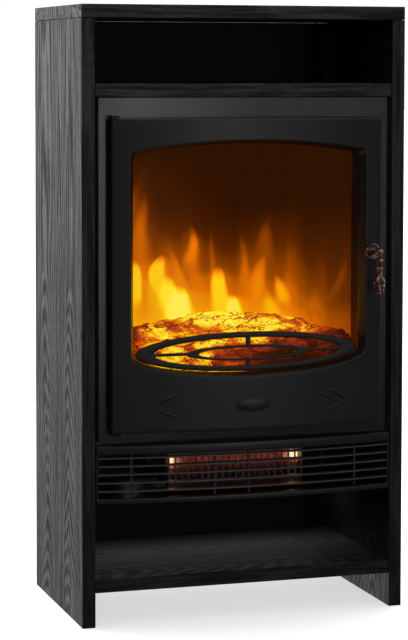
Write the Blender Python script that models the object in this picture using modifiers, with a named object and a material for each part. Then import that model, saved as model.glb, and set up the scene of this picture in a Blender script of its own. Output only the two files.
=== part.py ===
"""Electric fireplace: a tall wood-effect cabinet with a niche, a stove-style heater insert and a log bay.

Units are metres. +Z is up, +X is the viewer's right and -Y faces the viewer. The origin is on the floor,
below the middle of the whole object, handle included.
"""

import math

import bmesh
import bpy
from mathutils import Matrix, Vector

# Cabinet.
WIDTH = 0.550
DEPTH = 0.325
HEIGHT = 1.000
BOARD = 0.022
THIN_BOARD = 0.008
EDGE_ROUND = 0.0008
UPPER_SHELF_TOP = 0.874
BOTTOM_SHELF_TOP = 0.078
BACK_BOARD_INSET = 0.007
BAY_BACK_TOP = 0.230

# The door's bowed front: how far its edges stand before the cabinet, and its bow in the middle.
DOOR_HALF = 0.2285
DOOR_STAND = 0.018
DOOR_BOW = 0.020

# Door handle: a post square to the bowed front, with a drop pull on its end.
HANDLE_X = 0.2105
HANDLE_Z = 0.599
HANDLE_TURN = math.atan(2 * DOOR_BOW * HANDLE_X / DOOR_HALF**2)
SEAT_STAND = DOOR_STAND + DOOR_BOW * (1 - (HANDLE_X / DOOR_HALF) ** 2)
ROSETTE_RADIUS = 0.0134
BALL_STAND = 0.0245
BALL_RADIUS = 0.006
PULL_RADIUS = 0.0105
PULL_SLOT = 0.0016
HANDLE_REACH = SEAT_STAND + BALL_STAND * math.cos(HANDLE_TURN) + PULL_RADIUS

# Clearance between pieces that touch, and between a pin and its hole.
GAP = 0.0003
RUNNING = 0.0001

# Edges that turn by more than this stay sharp on a round piece.
SMOOTH_LIMIT = math.radians(35)

FRONT = (HANDLE_REACH - DEPTH) / 2
BACK = FRONT + DEPTH
INSIDE = WIDTH / 2 - BOARD

# Heater insert.
INSERT_BOTTOM = 0.200
FRAME_BOTTOM = 0.299
FRAME_TOP = 0.851
FRAME_HALF = 0.246
FRAME_FACE = FRONT + 0.006
FRAME_BACK = FRAME_FACE + 0.002
CASE_HALF = 0.244
CASE_FRONT = FRAME_BACK + GAP
CASE_BACK = FRONT + 0.215
CASE_SHEET = 0.0012

# Viewing hole of the front frame and the firebox behind it.
VIEW_HALF = 0.205
VIEW_BOTTOM = 0.402
VIEW_TOP = 0.800
CONTROL_HOLE = ((-0.125, 0.335), (0.125, 0.383))
LINER_HALF = 0.2200
LINER_SHEET = 0.0015
SCREEN_FRONT = FRONT + 0.099
SCREEN_THICK = 0.003
BED_HALF = 0.2045
FLOOR_TOP = 0.3945

# Door.
DOOR_BOTTOM = 0.316
DOOR_TOP = 0.818
DOOR_BACK = FRONT + 0.004
DOOR_EDGE = FRONT - DOOR_STAND
DOOR_SHEET = 0.003
HINGE_X = -0.222
HINGE_Y = FRONT - 0.012
PIN_RADIUS = 0.0025
BOW_STEPS = 21

# Window of the door: (half width, arch top, sag below the waist, corner radius) of its outline on the
# bowed front and of the smaller one at the back of the deep rim.
WINDOW_FRONT = (0.2000, 0.7830, 0.0360, 0.0120)
WINDOW_BACK = (0.1925, 0.7775, 0.0335, 0.0080)
WINDOW_RISE = 0.017
WINDOW_WAIST = 0.440
RIM_BACK = FRONT - 0.006
RIM_WALL = 0.003
GLASS_THICK = 0.003
GLASS_HALF = 0.200

# Fret in the lower part of the window. Its front bulges a little and its ends lie by the rim's back.
FRET_CENTRE = 0.4399
FRET_HALF = 0.1890
FRET_HEIGHT = 0.0320
FRET_BULGE = 0.0025
FRET_THICK = 0.0035
# Half width, half height and middle height of its slot oval, inner ring and centre slot.
FRET_SLOTS = (0.1585, 0.0231, 0.4396)
FRET_RING = (0.1045, 0.0128, 0.4379)
FRET_CENTRE_SLOT = (0.0835, 0.0086, 0.4376)
FRET_BAR = (0.4360, 0.4410)

# Grille below the door.
GRILLE_HALF = 0.251
GRILLE_BOW = 0.023
GRILLE_DEPTH = 0.014
GRILLE_REAR = FRONT + 0.0315
RAIL_DEPTH = 0.020
BLADE_THICK = 0.0022
BLADE_PITCH = 0.01345
FIRST_BLADE = 0.2210
BLADE_COUNT = 5
LOWER_RAIL_TOP = 0.2085
UPPER_RAIL = (0.2790, 0.2945)
RIB_WIDTH = 0.004
RIB_PLACES = (-0.192, -0.055, 0.003, 0.192)

# Warm air outlet, fan and heater.
DUCT_HALF = 0.1168
DUCT_MOUTH_HALF = 0.133
DUCT_BOTTOM = 0.217
DUCT_TOP = 0.283
DUCT_SHEET = 0.0012
DUCT_FRONT = FRONT + 0.012
MESH_FRONT = FRONT + 0.051
DUCT_BACK = FRONT + 0.110
MESH_COLUMNS = 20
MESH_ROWS = 4
MESH_WIRE = 0.0024
FAN_Y = FRONT + 0.150
FAN_Z = 0.262
FAN_RADIUS = 0.026
FAN_HALF = 0.110
FAN_BLADES = 14
SHAFT_RADIUS = 0.0025

# Rotating flame reflector.
SPINDLE_Y = FRONT + 0.150
SPINDLE_Z = 0.428
SPINDLE_HALF = 0.208
SPINDLE_ROD = 0.003
REFLECTOR_REACH = 0.016
REFLECTOR_COUNT = 16

# Controls behind the door.
SWITCH_Z = 0.359
SWITCH_PLACES = (-0.090, -0.055, -0.020, 0.015)
SWITCH_NAMES = ("power_switch", "flame_switch", "low_heat_switch", "high_heat_switch")
SWITCH_PIVOT_Y = FRONT + 0.012
SWITCH_TILT = math.radians(7)
PADDLE_WIDTH = 0.0130
PADDLE_HEIGHT = 0.0195
KNOB_X = 0.085
KNOB_RADIUS = 0.016

PARTS = bpy.data.collections.new("electric_fireplace")
CUTTERS = bpy.data.collections.new("cutters")


def material(name, colour, roughness, metallic=0.0):
    """A plain Principled material."""
    made = bpy.data.materials.new(name)
    made.use_nodes = True
    shader = made.node_tree.nodes["Principled BSDF"]
    shader.inputs["Base Color"].default_value = (*colour, 1.0)
    shader.inputs["Roughness"].default_value = roughness
    shader.inputs["Metallic"].default_value = metallic
    return made


def place(name, mesh, finish=None, location=(0, 0, 0), rotation=(0, 0, 0)):
    """Puts a mesh in the model as a part, or among the cutters where it has no finish."""
    piece = bpy.data.objects.new(name, mesh)
    piece.location = location
    piece.rotation_euler = rotation
    if finish is None:
        CUTTERS.objects.link(piece)
        piece.hide_render = True
        piece.display_type = "WIRE"
    else:
        PARTS.objects.link(piece)
        mesh.materials.append(finish)
    return piece


def box(name, low, high, finish=None, rounding=0.0):
    """A block between two corners, with small rounded edges where asked."""
    low, high = Vector(low), Vector(high)
    shape = bmesh.new()
    bmesh.ops.create_cube(shape, size=1.0)
    bmesh.ops.scale(shape, vec=high - low, verts=shape.verts)
    mesh = bpy.data.meshes.new(name)
    shape.to_mesh(mesh)
    shape.free()
    piece = place(name, mesh, finish, location=(low + high) / 2)
    if rounding:
        bevel = piece.modifiers.new("rounded_edges", "BEVEL")
        bevel.width = rounding
        bevel.segments = 1
        bevel.limit_method = "ANGLE"
    return piece


def boxes(name, corners, finish=None):
    """Several separate blocks in one mesh, for cutting or joining in one go."""
    shape = bmesh.new()
    for low, high in corners:
        low, high = Vector(low), Vector(high)
        made = bmesh.ops.create_cube(shape, size=1.0)["verts"]
        bmesh.ops.scale(shape, vec=high - low, verts=made)
        bmesh.ops.translate(shape, vec=(low + high) / 2, verts=made)
    mesh = bpy.data.meshes.new(name)
    shape.to_mesh(mesh)
    shape.free()
    return place(name, mesh, finish)


# How an outline's own x and y lie in space, for each direction in which it is extruded.
ALONG = {
    "Z": (0.0, 0.0, 0.0),
    "Y": (math.pi / 2, 0.0, 0.0),
    "X": (math.pi / 2, 0.0, math.pi / 2),
}


def prism(name, loops, along, start, end, finish=None, offset=(0, 0)):
    """A flat outline, with holes where there are further loops, extruded between start and end.

    Along Z the outline is in x and y, along Y it is in x and z, and along X it is in y and z.
    """
    curve = bpy.data.curves.new(name, "CURVE")
    curve.dimensions = "2D"
    curve.fill_mode = "BOTH"
    curve.extrude = abs(end - start) / 2
    for loop in loops:
        spline = curve.splines.new("POLY")
        spline.points.add(len(loop) - 1)
        for point, (u, v) in zip(spline.points, loop):
            point.co = (u, v, 0.0, 1.0)
        spline.use_cyclic_u = True
    middle = (start + end) / 2
    centre = {
        "Z": (offset[0], offset[1], middle),
        "Y": (offset[0], middle, offset[1]),
        "X": (middle, offset[0], offset[1]),
    }
    holder = bpy.data.objects.new(name + "_curve", curve)
    bpy.context.scene.collection.objects.link(holder)
    bpy.context.view_layer.update()
    mesh = bpy.data.meshes.new_from_object(holder.evaluated_get(bpy.context.evaluated_depsgraph_get()))
    bpy.data.objects.remove(holder)
    bpy.data.curves.remove(curve)
    shape = bmesh.new()
    shape.from_mesh(mesh)
    bmesh.ops.remove_doubles(shape, verts=shape.verts, dist=1e-6)
    bmesh.ops.recalc_face_normals(shape, faces=shape.faces)
    shape.to_mesh(mesh)
    shape.free()
    mesh.name = name
    mesh.materials.clear()
    return place(name, mesh, finish, location=centre[along], rotation=ALONG[along])


# The turn that lays a profile's own axis along each direction.
AXIS_TURN = {
    "Z": (0.0, 0.0, 0.0),
    "-Y": (math.pi / 2, 0.0, 0.0),
    "X": (0.0, math.pi / 2, 0.0),
}


def turned(name, profile, axis, centre, finish=None, steps=24):
    """A turned piece: (radius, height) points from the top down, spun about the given axis.

    Height 0 is at the centre, and height runs along the axis. Round faces are shaded smooth.
    """
    shape = bmesh.new()
    points = [shape.verts.new((radius, 0.0, height)) for radius, height in profile]
    for first, second in zip(points, points[1:]):
        shape.edges.new((first, second))
    mesh = bpy.data.meshes.new(name)
    shape.to_mesh(mesh)
    shape.free()
    piece = place(name, mesh, finish, location=centre, rotation=AXIS_TURN[axis])
    spin = piece.modifiers.new("turned", "SCREW")
    spin.steps = steps
    spin.render_steps = steps
    spin.use_merge_vertices = True
    spin.merge_threshold = 0.00005
    bpy.context.view_layer.update()
    depsgraph = bpy.context.evaluated_depsgraph_get()
    piece.data = bpy.data.meshes.new_from_object(piece.evaluated_get(depsgraph))
    piece.data.shade_smooth()
    piece.data.set_sharp_from_angle(angle=SMOOTH_LIMIT)
    piece.modifiers.clear()
    return piece


def bar(name, radius, axis, start, end, across, finish=None, steps=24):
    """A plain round bar between two places on its axis. across holds its other two coordinates."""
    half = abs(end - start) / 2
    middle = (start + end) / 2
    centre = {
        "X": (middle, across[0], across[1]),
        "-Y": (across[0], middle, across[1]),
        "Z": (across[0], across[1], middle),
    }[axis]
    profile = [(0.0, half), (radius, half), (radius, -half), (0.0, -half)]
    return turned(name, profile, axis, centre, finish, steps)


def combine(piece, other, operation):
    """Adds a Boolean with another piece, which goes among the cutters."""
    step = piece.modifiers.new(other.name, "BOOLEAN")
    step.operation = operation
    step.solver = "EXACT"
    step.object = other
    return piece


def cut(piece, *others):
    """Takes the other shapes out of a piece."""
    for other in others:
        combine(piece, other, "DIFFERENCE")
    return piece


def join(piece, *others):
    """Makes the other shapes part of a piece."""
    for other in others:
        combine(piece, other, "UNION")
    return piece


def axis_point(name, location):
    """An empty on a joint's axis, which carries the pieces that move with it."""
    empty = bpy.data.objects.new(name, None)
    empty.location = location
    PARTS.objects.link(empty)
    return empty


def carry(parent, *pieces):
    """Parents pieces to an empty and leaves them where they are."""
    bpy.context.view_layer.update()
    for piece in pieces:
        piece.parent = parent
        piece.matrix_parent_inverse = parent.matrix_world.inverted()


def ellipse(half_width, half_height, centre_height, steps=40, start=0.0, sweep=2 * math.pi):
    """Points round an ellipse, or along an arc of one, seen from the front."""
    count = steps if sweep >= 2 * math.pi - 1e-9 else steps + 1
    turns = [start + sweep * i / steps for i in range(count)]
    return [(half_width * math.cos(t), centre_height + half_height * math.sin(t)) for t in turns]


def rectangle(low, high):
    """The four corners of a flat rectangle."""
    return [(low[0], low[1]), (high[0], low[1]), (high[0], high[1]), (low[0], high[1])]


# Cabinet


def make_cabinet(ash, hardboard):
    """Two sides that stand on the floor, a top over them, two shelves between them and two backs."""
    below_top = HEIGHT - BOARD - GAP
    box("top_panel", (-WIDTH / 2, FRONT, HEIGHT - BOARD), (WIDTH / 2, BACK, HEIGHT), ash, EDGE_ROUND)
    for name, side in (("left_side_panel", -1), ("right_side_panel", 1)):
        near, far = sorted((side * INSIDE, side * WIDTH / 2))
        box(name, (near, FRONT, 0), (far, BACK, below_top), ash, EDGE_ROUND)
    reach = INSIDE - GAP
    shelf_back = BACK - BACK_BOARD_INSET - THIN_BOARD - GAP
    for name, top in (("upper_shelf", UPPER_SHELF_TOP), ("bottom_shelf", BOTTOM_SHELF_TOP)):
        box(name, (-reach, FRONT + 0.001, top - BOARD), (reach, shelf_back, top), ash, EDGE_ROUND)
    back_front = BACK - BACK_BOARD_INSET - THIN_BOARD
    back_rear = BACK - BACK_BOARD_INSET
    box(
        "niche_back_panel",
        (-reach, back_front, UPPER_SHELF_TOP - BOARD),
        (reach, back_rear, HEIGHT - BOARD - GAP),
        hardboard,
    )
    box(
        "bay_back_panel",
        (-reach, back_front, BOTTOM_SHELF_TOP - BOARD),
        (reach, back_rear, BAY_BACK_TOP),
        hardboard,
    )


def make_support_rails(steel):
    """Steel angles on the sides that carry the insert."""
    for name, side in (("left_support_rail", -1), ("right_support_rail", 1)):
        wall = INSIDE - GAP
        angle = [
            (side * wall, INSERT_BOTTOM - 0.0018),
            (side * (wall - 0.024), INSERT_BOTTOM - 0.0018),
            (side * (wall - 0.024), INSERT_BOTTOM - GAP),
            (side * (wall - 0.0015), INSERT_BOTTOM - GAP),
            (side * (wall - 0.0015), INSERT_BOTTOM + 0.030),
            (side * wall, INSERT_BOTTOM + 0.030),
        ]
        prism(name, [angle], "Y", GRILLE_REAR, CASE_BACK, steel)


# Insert body


def make_insert_case(steel):
    """Folded sheet case, open at the front, with vent slots and a cable hole in its back."""
    shape = bmesh.new()
    bmesh.ops.create_cube(shape, size=1.0)
    size = (2 * CASE_HALF, CASE_BACK - CASE_FRONT, FRAME_TOP - INSERT_BOTTOM)
    bmesh.ops.scale(shape, vec=size, verts=shape.verts)
    front = [face for face in shape.faces if face.normal.y < -0.5]
    bmesh.ops.delete(shape, geom=front, context="FACES")
    mesh = bpy.data.meshes.new("insert_case")
    shape.to_mesh(mesh)
    shape.free()
    centre = (0, (CASE_FRONT + CASE_BACK) / 2, (FRAME_TOP + INSERT_BOTTOM) / 2)
    case = place("insert_case", mesh, steel, location=centre)
    sheet = case.modifiers.new("sheet", "SOLIDIFY")
    sheet.thickness = CASE_SHEET
    sheet.offset = -1.0
    sheet.use_even_offset = True
    slots = []
    for low in (0.235, 0.800):
        for place_x in range(-4, 5):
            x = place_x * 0.034
            high = low + 0.026
            slots.append(((x - 0.004, CASE_BACK - 0.005, low), (x + 0.004, CASE_BACK + 0.005, high)))
    cable_hole = bar("cable_hole", 0.0073, "-Y", CASE_BACK - 0.005, CASE_BACK + 0.005, (0.205, 0.240))
    room_low = (-CASE_HALF - 0.010, FRONT - 0.010, INSERT_BOTTOM - 0.010)
    room = box("grille_room", room_low, (CASE_HALF + 0.010, GRILLE_REAR, FRAME_BOTTOM + GAP))
    cut(case, boxes("vent_slots", slots), cable_hole, room)
    gland = [(0.0, 0.018), (0.0055, 0.018), (0.0075, 0.010), (0.0110, 0.0095), (0.0110, GAP)]
    gland += [(0.0070, GAP), (0.0070, -0.008), (0.0, -0.008)]
    made = turned("cable_gland", gland, "-Y", (0.205, CASE_BACK, 0.240), FINISHES["black_plastic"], 20)
    made.rotation_euler = (-math.pi / 2, 0.0, 0.0)


def make_front_frame(metal):
    """Flat steel frame round the door, with the viewing hole and the hole for the controls."""
    loops = [
        rectangle((-FRAME_HALF, FRAME_BOTTOM), (FRAME_HALF, FRAME_TOP)),
        rectangle((-VIEW_HALF, VIEW_BOTTOM), (VIEW_HALF, VIEW_TOP)),
        rectangle(*CONTROL_HOLE),
    ]
    prism("front_frame", loops, "Y", FRAME_FACE, FRAME_BACK, metal)


def make_firebox(metal, screen_finish, bed_finish):
    """Black liner, glowing screen at the back and the moulded fuel bed."""
    top = VIEW_TOP + 0.003
    outer = LINER_HALF + LINER_SHEET
    liner = [
        (-outer, VIEW_BOTTOM),
        (-LINER_HALF, VIEW_BOTTOM),
        (-LINER_HALF, top),
        (LINER_HALF, top),
        (LINER_HALF, VIEW_BOTTOM),
        (outer, VIEW_BOTTOM),
        (outer, top + LINER_SHEET),
        (-outer, top + LINER_SHEET),
    ]
    prism("firebox_liner", [liner], "Y", CASE_FRONT + 0.001, SCREEN_FRONT - 0.0005, metal)
    box(
        "flame_screen",
        (-outer, SCREEN_FRONT, VIEW_BOTTOM),
        (outer, SCREEN_FRONT + SCREEN_THICK, top + LINER_SHEET),
        screen_finish,
    )
    clear = CASE_SHEET + GAP
    floor_low = (-CASE_HALF + clear, FRONT + 0.050, FLOOR_TOP - LINER_SHEET)
    floor_high = (CASE_HALF - clear, CASE_BACK - clear, FLOOR_TOP)
    box("inner_floor", floor_low, floor_high, metal)
    make_fuel_bed(bed_finish)


def make_fuel_bed(finish):
    """Moulded bed: a heap that slopes to the front, with four logs lying on it."""
    heap = [
        (FRONT + 0.010, VIEW_BOTTOM),
        (FRONT + 0.096, VIEW_BOTTOM),
        (FRONT + 0.096, 0.462),
        (FRONT + 0.070, 0.466),
        (FRONT + 0.045, 0.452),
        (FRONT + 0.022, 0.432),
        (FRONT + 0.010, 0.412),
    ]
    bed = prism("fuel_bed", [heap], "X", -BED_HALF, BED_HALF, finish)
    logs = (
        ((-0.172, 0.066, 0.463), (-0.018, 0.062, 0.486), 0.0135),
        ((-0.040, 0.052, 0.474), (0.118, 0.066, 0.473), 0.0150),
        ((-0.150, 0.036, 0.443), (-0.020, 0.044, 0.462), 0.0110),
        ((0.000, 0.040, 0.455), (0.150, 0.034, 0.442), 0.0115),
    )
    for number, (start, end, radius) in enumerate(logs, 1):
        first = Vector((start[0], FRONT + start[1], start[2]))
        last = Vector((end[0], FRONT + end[1], end[2]))
        run = last - first
        profile = [
            (0.0, run.length / 2),
            (radius * 0.80, run.length / 2),
            (radius, run.length * 0.1),
            (radius * 0.95, -run.length * 0.3),
            (radius * 0.75, -run.length / 2),
            (0.0, -run.length / 2),
        ]
        log = turned(f"log_{number}", profile, "Z", (first + last) / 2, None, 12)
        log.rotation_mode = "QUATERNION"
        log.rotation_quaternion = run.to_track_quat("Z", "Y")
        join(bed, log)


def make_lamps(board_finish):
    """Lamp boards below the bed and behind the flame reflector, each with a row of lamps."""
    lamp = 0.0025
    ember_top = 0.3965
    ember = box(
        "ember_lamp_board", (-0.180, FRONT + 0.052, 0.3948), (0.180, FRONT + 0.080, ember_top), board_finish
    )
    flame_front = FRONT + 0.176
    flame = box(
        "flame_lamp_board", (-0.185, flame_front, 0.412), (0.185, flame_front + 0.0016, 0.444), board_finish
    )
    ember_lamps, flame_lamps = [], []
    for place_x in range(-4, 5):
        x = place_x * 0.040
        ember_lamps.append(
            (
                (x - lamp, FRONT + 0.066 - lamp, ember_top - 0.001),
                (x + lamp, FRONT + 0.066 + lamp, ember_top + 0.002),
            )
        )
        flame_lamps.append(
            (
                (x - lamp, flame_front - 0.002, SPINDLE_Z - lamp),
                (x + lamp, flame_front + 0.001, SPINDLE_Z + lamp),
            )
        )
    join(ember, boxes("ember_lamps", ember_lamps))
    join(flame, boxes("flame_lamps", flame_lamps))


def flame_hole(x, low, height, width):
    """A pointed flame-shaped hole."""
    left = [(-0.5, 0.00), (-0.5, 0.30), (-0.25, 0.62)]
    right = [(0.32, 0.55), (0.5, 0.25), (0.45, 0.00)]
    shape = left + [(0.05, 1.0)] + right
    return [(x + u * width, low + v * height) for u, v in shape]


def make_flame_mask(metal):
    """Sheet with flame-shaped holes between the reflector and the screen."""
    outline = rectangle((-0.205, 0.440), (0.205, 0.740))
    holes = [flame_hole(-0.150 + 0.060 * i, 0.452, 0.15 + 0.05 * math.sin(2.1 * i), 0.030) for i in range(6)]
    prism("flame_mask", [outline, *holes], "Y", FRONT + 0.125, FRONT + 0.1262, metal)


def make_flame_spindle(foil, motor_finish, metal):
    """Slow rod with reflecting strips, its bracket at one end and its geared motor at the other."""
    across = (SPINDLE_Y, SPINDLE_Z)
    spindle = bar("flame_spindle", SPINDLE_ROD, "X", -SPINDLE_HALF, SPINDLE_HALF, across, foil, 12)
    shape = bmesh.new()
    for i in range(REFLECTOR_COUNT):
        x = -0.188 + i * 0.376 / (REFLECTOR_COUNT - 1)
        strip = bmesh.ops.create_cube(shape, size=1.0)["verts"]
        bmesh.ops.scale(shape, vec=(0.012, 0.0008, REFLECTOR_REACH), verts=strip)
        bmesh.ops.translate(shape, vec=(0, 0, REFLECTOR_REACH / 2 + 0.0010), verts=strip)
        turn = Matrix.Rotation(i * 2.4, 4, "X")
        bmesh.ops.transform(shape, matrix=Matrix.Translation((x, *across)) @ turn, verts=strip)
    mesh = bpy.data.meshes.new("reflector_strips")
    shape.to_mesh(mesh)
    shape.free()
    join(spindle, place("reflector_strips", mesh))
    bracket = box(
        "spindle_bracket", (-0.2070, SPINDLE_Y - 0.012, 0.3948), (-0.2050, SPINDLE_Y + 0.012, 0.4440), metal
    )
    cut(bracket, bar("spindle_hole", SPINDLE_ROD + RUNNING, "X", -0.210, -0.200, across, None, 24))
    bar("spindle_motor", 0.019, "X", SPINDLE_HALF + GAP, 0.2300, across, motor_finish, 20)
    hub = axis_point("spindle_axis", (0, *across))
    carry(hub, spindle)


# Heater


def make_duct(metal):
    """Open duct that narrows from its mouth to the outlet mesh and runs on to the fan."""
    sections = ((DUCT_FRONT, DUCT_MOUTH_HALF), (MESH_FRONT - 0.003, DUCT_HALF), (DUCT_BACK - GAP, DUCT_HALF))
    shape = bmesh.new()
    rings = []
    for y, half in sections:
        corners = ((-half, DUCT_BOTTOM), (half, DUCT_BOTTOM), (half, DUCT_TOP), (-half, DUCT_TOP))
        rings.append([shape.verts.new((x, y, z)) for x, z in corners])
    for near, far in zip(rings, rings[1:]):
        for i in range(4):
            j = (i + 1) % 4
            shape.faces.new((near[i], near[j], far[j], far[i]))
    mesh = bpy.data.meshes.new("heater_duct")
    shape.to_mesh(mesh)
    shape.free()
    duct = place("heater_duct", mesh, metal)
    sheet = duct.modifiers.new("sheet", "SOLIDIFY")
    sheet.thickness = DUCT_SHEET
    sheet.offset = -1.0
    sheet.use_even_offset = True


def make_outlet_mesh(finish):
    """Plate of small square holes across the duct."""
    half = DUCT_HALF - GAP
    low, high = DUCT_BOTTOM + GAP, DUCT_TOP - GAP
    step_x = (2 * half - MESH_WIRE) / MESH_COLUMNS
    step_z = (high - low - MESH_WIRE) / MESH_ROWS
    loops = [rectangle((-half, low), (half, high))]
    for column in range(MESH_COLUMNS):
        for row in range(MESH_ROWS):
            x = -half + MESH_WIRE + column * step_x
            z = low + MESH_WIRE + row * step_z
            loops.append(rectangle((x, z), (x + step_x - MESH_WIRE, z + step_z - MESH_WIRE)))
    prism("outlet_mesh", loops, "Y", MESH_FRONT, MESH_FRONT + 0.002, finish)


def make_heating_element(finish):
    """Ceramic heating block with fins, across the duct behind the mesh."""
    half, low, high = DUCT_HALF - 0.002, DUCT_BOTTOM + 0.006, DUCT_TOP - 0.006
    fins = 18
    step = 2 * half / fins
    outline = [(-half, FRONT + 0.092), (half, FRONT + 0.092)]
    for i in range(fins, 0, -1):
        right, left = -half + i * step, -half + (i - 0.5) * step
        outline += [(right, FRONT + 0.070), (left, FRONT + 0.070)]
        if i > 1:
            outline += [(left, FRONT + 0.084), (-half + (i - 1) * step, FRONT + 0.084)]
        else:
            outline += [(left, FRONT + 0.084), (-half, FRONT + 0.084)]
    prism("heating_element", [outline], "Z", low, high, finish)


def make_fan(plastic, steel, metal):
    """Crossflow fan: moulded scroll housing, drum rotor on its shaft and the motor."""
    across = (FAN_Y, FAN_Z)
    cheek = FAN_HALF + 0.0065
    housing = box(
        "fan_housing", (-cheek, DUCT_BACK, DUCT_BOTTOM - 0.001), (cheek, FAN_Y + 0.034, 0.300), plastic
    )
    inner = FAN_HALF + 0.0025
    hollow = bar("fan_hollow", FAN_RADIUS + 0.003, "X", -inner, inner, across, None, 28)
    passages = [
        ((-inner, DUCT_BACK - 0.010, DUCT_BOTTOM + 0.003), (inner, FAN_Y - 0.004, DUCT_TOP - 0.003)),
        ((-inner, FAN_Y - 0.002, DUCT_BOTTOM - 0.010), (inner, FAN_Y + 0.050, FAN_Z - 0.012)),
    ]
    shaft_hole = bar("fan_shaft_hole", SHAFT_RADIUS + RUNNING, "X", -0.130, 0.130, across, None, 16)
    cut(housing, hollow, boxes("fan_passages", passages), shaft_hole)
    rotor = bar("fan_rotor", SHAFT_RADIUS, "X", -cheek - 0.003, cheek + GAP, across, plastic, 12)
    disc = 0.0015
    for number, x in enumerate((-FAN_HALF + disc, 0.0, FAN_HALF - disc), 1):
        join(rotor, bar(f"fan_disc_{number}", FAN_RADIUS, "X", x - disc, x + disc, across, None, 20))
    shape = bmesh.new()
    for i in range(FAN_BLADES):
        blade = bmesh.ops.create_cube(shape, size=1.0)["verts"]
        bmesh.ops.scale(shape, vec=(2 * FAN_HALF - disc, 0.0009, 0.0075), verts=blade)
        bmesh.ops.rotate(shape, cent=(0, 0, 0), matrix=Matrix.Rotation(0.6, 3, "X"), verts=blade)
        bmesh.ops.translate(shape, vec=(0, 0, FAN_RADIUS - 0.0048), verts=blade)
        turn = Matrix.Rotation(i * 2 * math.pi / FAN_BLADES, 4, "X")
        bmesh.ops.transform(shape, matrix=Matrix.Translation((0, *across)) @ turn, verts=blade)
    mesh = bpy.data.meshes.new("fan_blades")
    shape.to_mesh(mesh)
    shape.free()
    join(rotor, place("fan_blades", mesh))
    motor = bar("fan_motor", 0.024, "X", cheek + 2 * GAP, cheek + 0.034, across, steel, 24)
    join(motor, bar("motor_cap", 0.010, "X", cheek + 0.030, cheek + 0.040, across, None, 16))
    cutout_z = DUCT_TOP + DUCT_SHEET + GAP
    bar("thermal_cutout", 0.008, "Z", cutout_z, cutout_z + 0.007, (0.060, FRONT + 0.080), metal, 16)
    carry(axis_point("fan_axis", (0, *across)), rotor)


# Grille


def grille_face(x):
    """How far back the grille's bowed front is at x."""
    return FRONT - GRILLE_BOW * (1 - (x / GRILLE_HALF) ** 2)


def bowed_strip(half, depth, setback=0.0):
    """Outline from above of a strip that follows the grille's bow."""
    places = [-half + 2 * half * i / BOW_STEPS for i in range(BOW_STEPS + 1)]
    front = [(x, grille_face(x) + setback) for x in places]
    rear = [(x, grille_face(x) + setback + depth) for x in reversed(places)]
    return front + rear


def make_grille(metal):
    """Bowed frame of two rails, end cheeks and ribs, with five blades in front of the ribs."""
    cheek = 0.0020
    rail = bowed_strip(GRILLE_HALF, RAIL_DEPTH)
    frame = prism("grille_frame", [rail], "Z", *UPPER_RAIL, metal)
    lower = prism("lower_rail", [rail], "Z", INSERT_BOTTOM, LOWER_RAIL_TOP)
    uprights = []
    for side in (-1, 1):
        near, far = sorted((side * (GRILLE_HALF - cheek), side * GRILLE_HALF))
        low = (near, FRONT + 0.0005, INSERT_BOTTOM + 0.001)
        uprights.append((low, (far, GRILLE_REAR - 0.001, UPPER_RAIL[1] - 0.001)))
    for x in RIB_PLACES:
        ends = (grille_face(x - RIB_WIDTH / 2), grille_face(x + RIB_WIDTH / 2))
        low = (x - RIB_WIDTH / 2, max(ends) + GRILLE_DEPTH + GAP, LOWER_RAIL_TOP - 0.003)
        high = (x + RIB_WIDTH / 2, min(ends) + RAIL_DEPTH - 0.0005, UPPER_RAIL[0] + 0.003)
        uprights.append((low, high))
    join(frame, lower, boxes("grille_uprights", uprights))
    blade_half = GRILLE_HALF - cheek - GAP
    for number in range(BLADE_COUNT):
        low = FIRST_BLADE + number * BLADE_PITCH - BLADE_THICK
        outline = bowed_strip(blade_half, GRILLE_DEPTH)
        prism(f"grille_blade_{number + 1}", [outline], "Z", low, low + BLADE_THICK, metal)


# Controls


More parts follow.
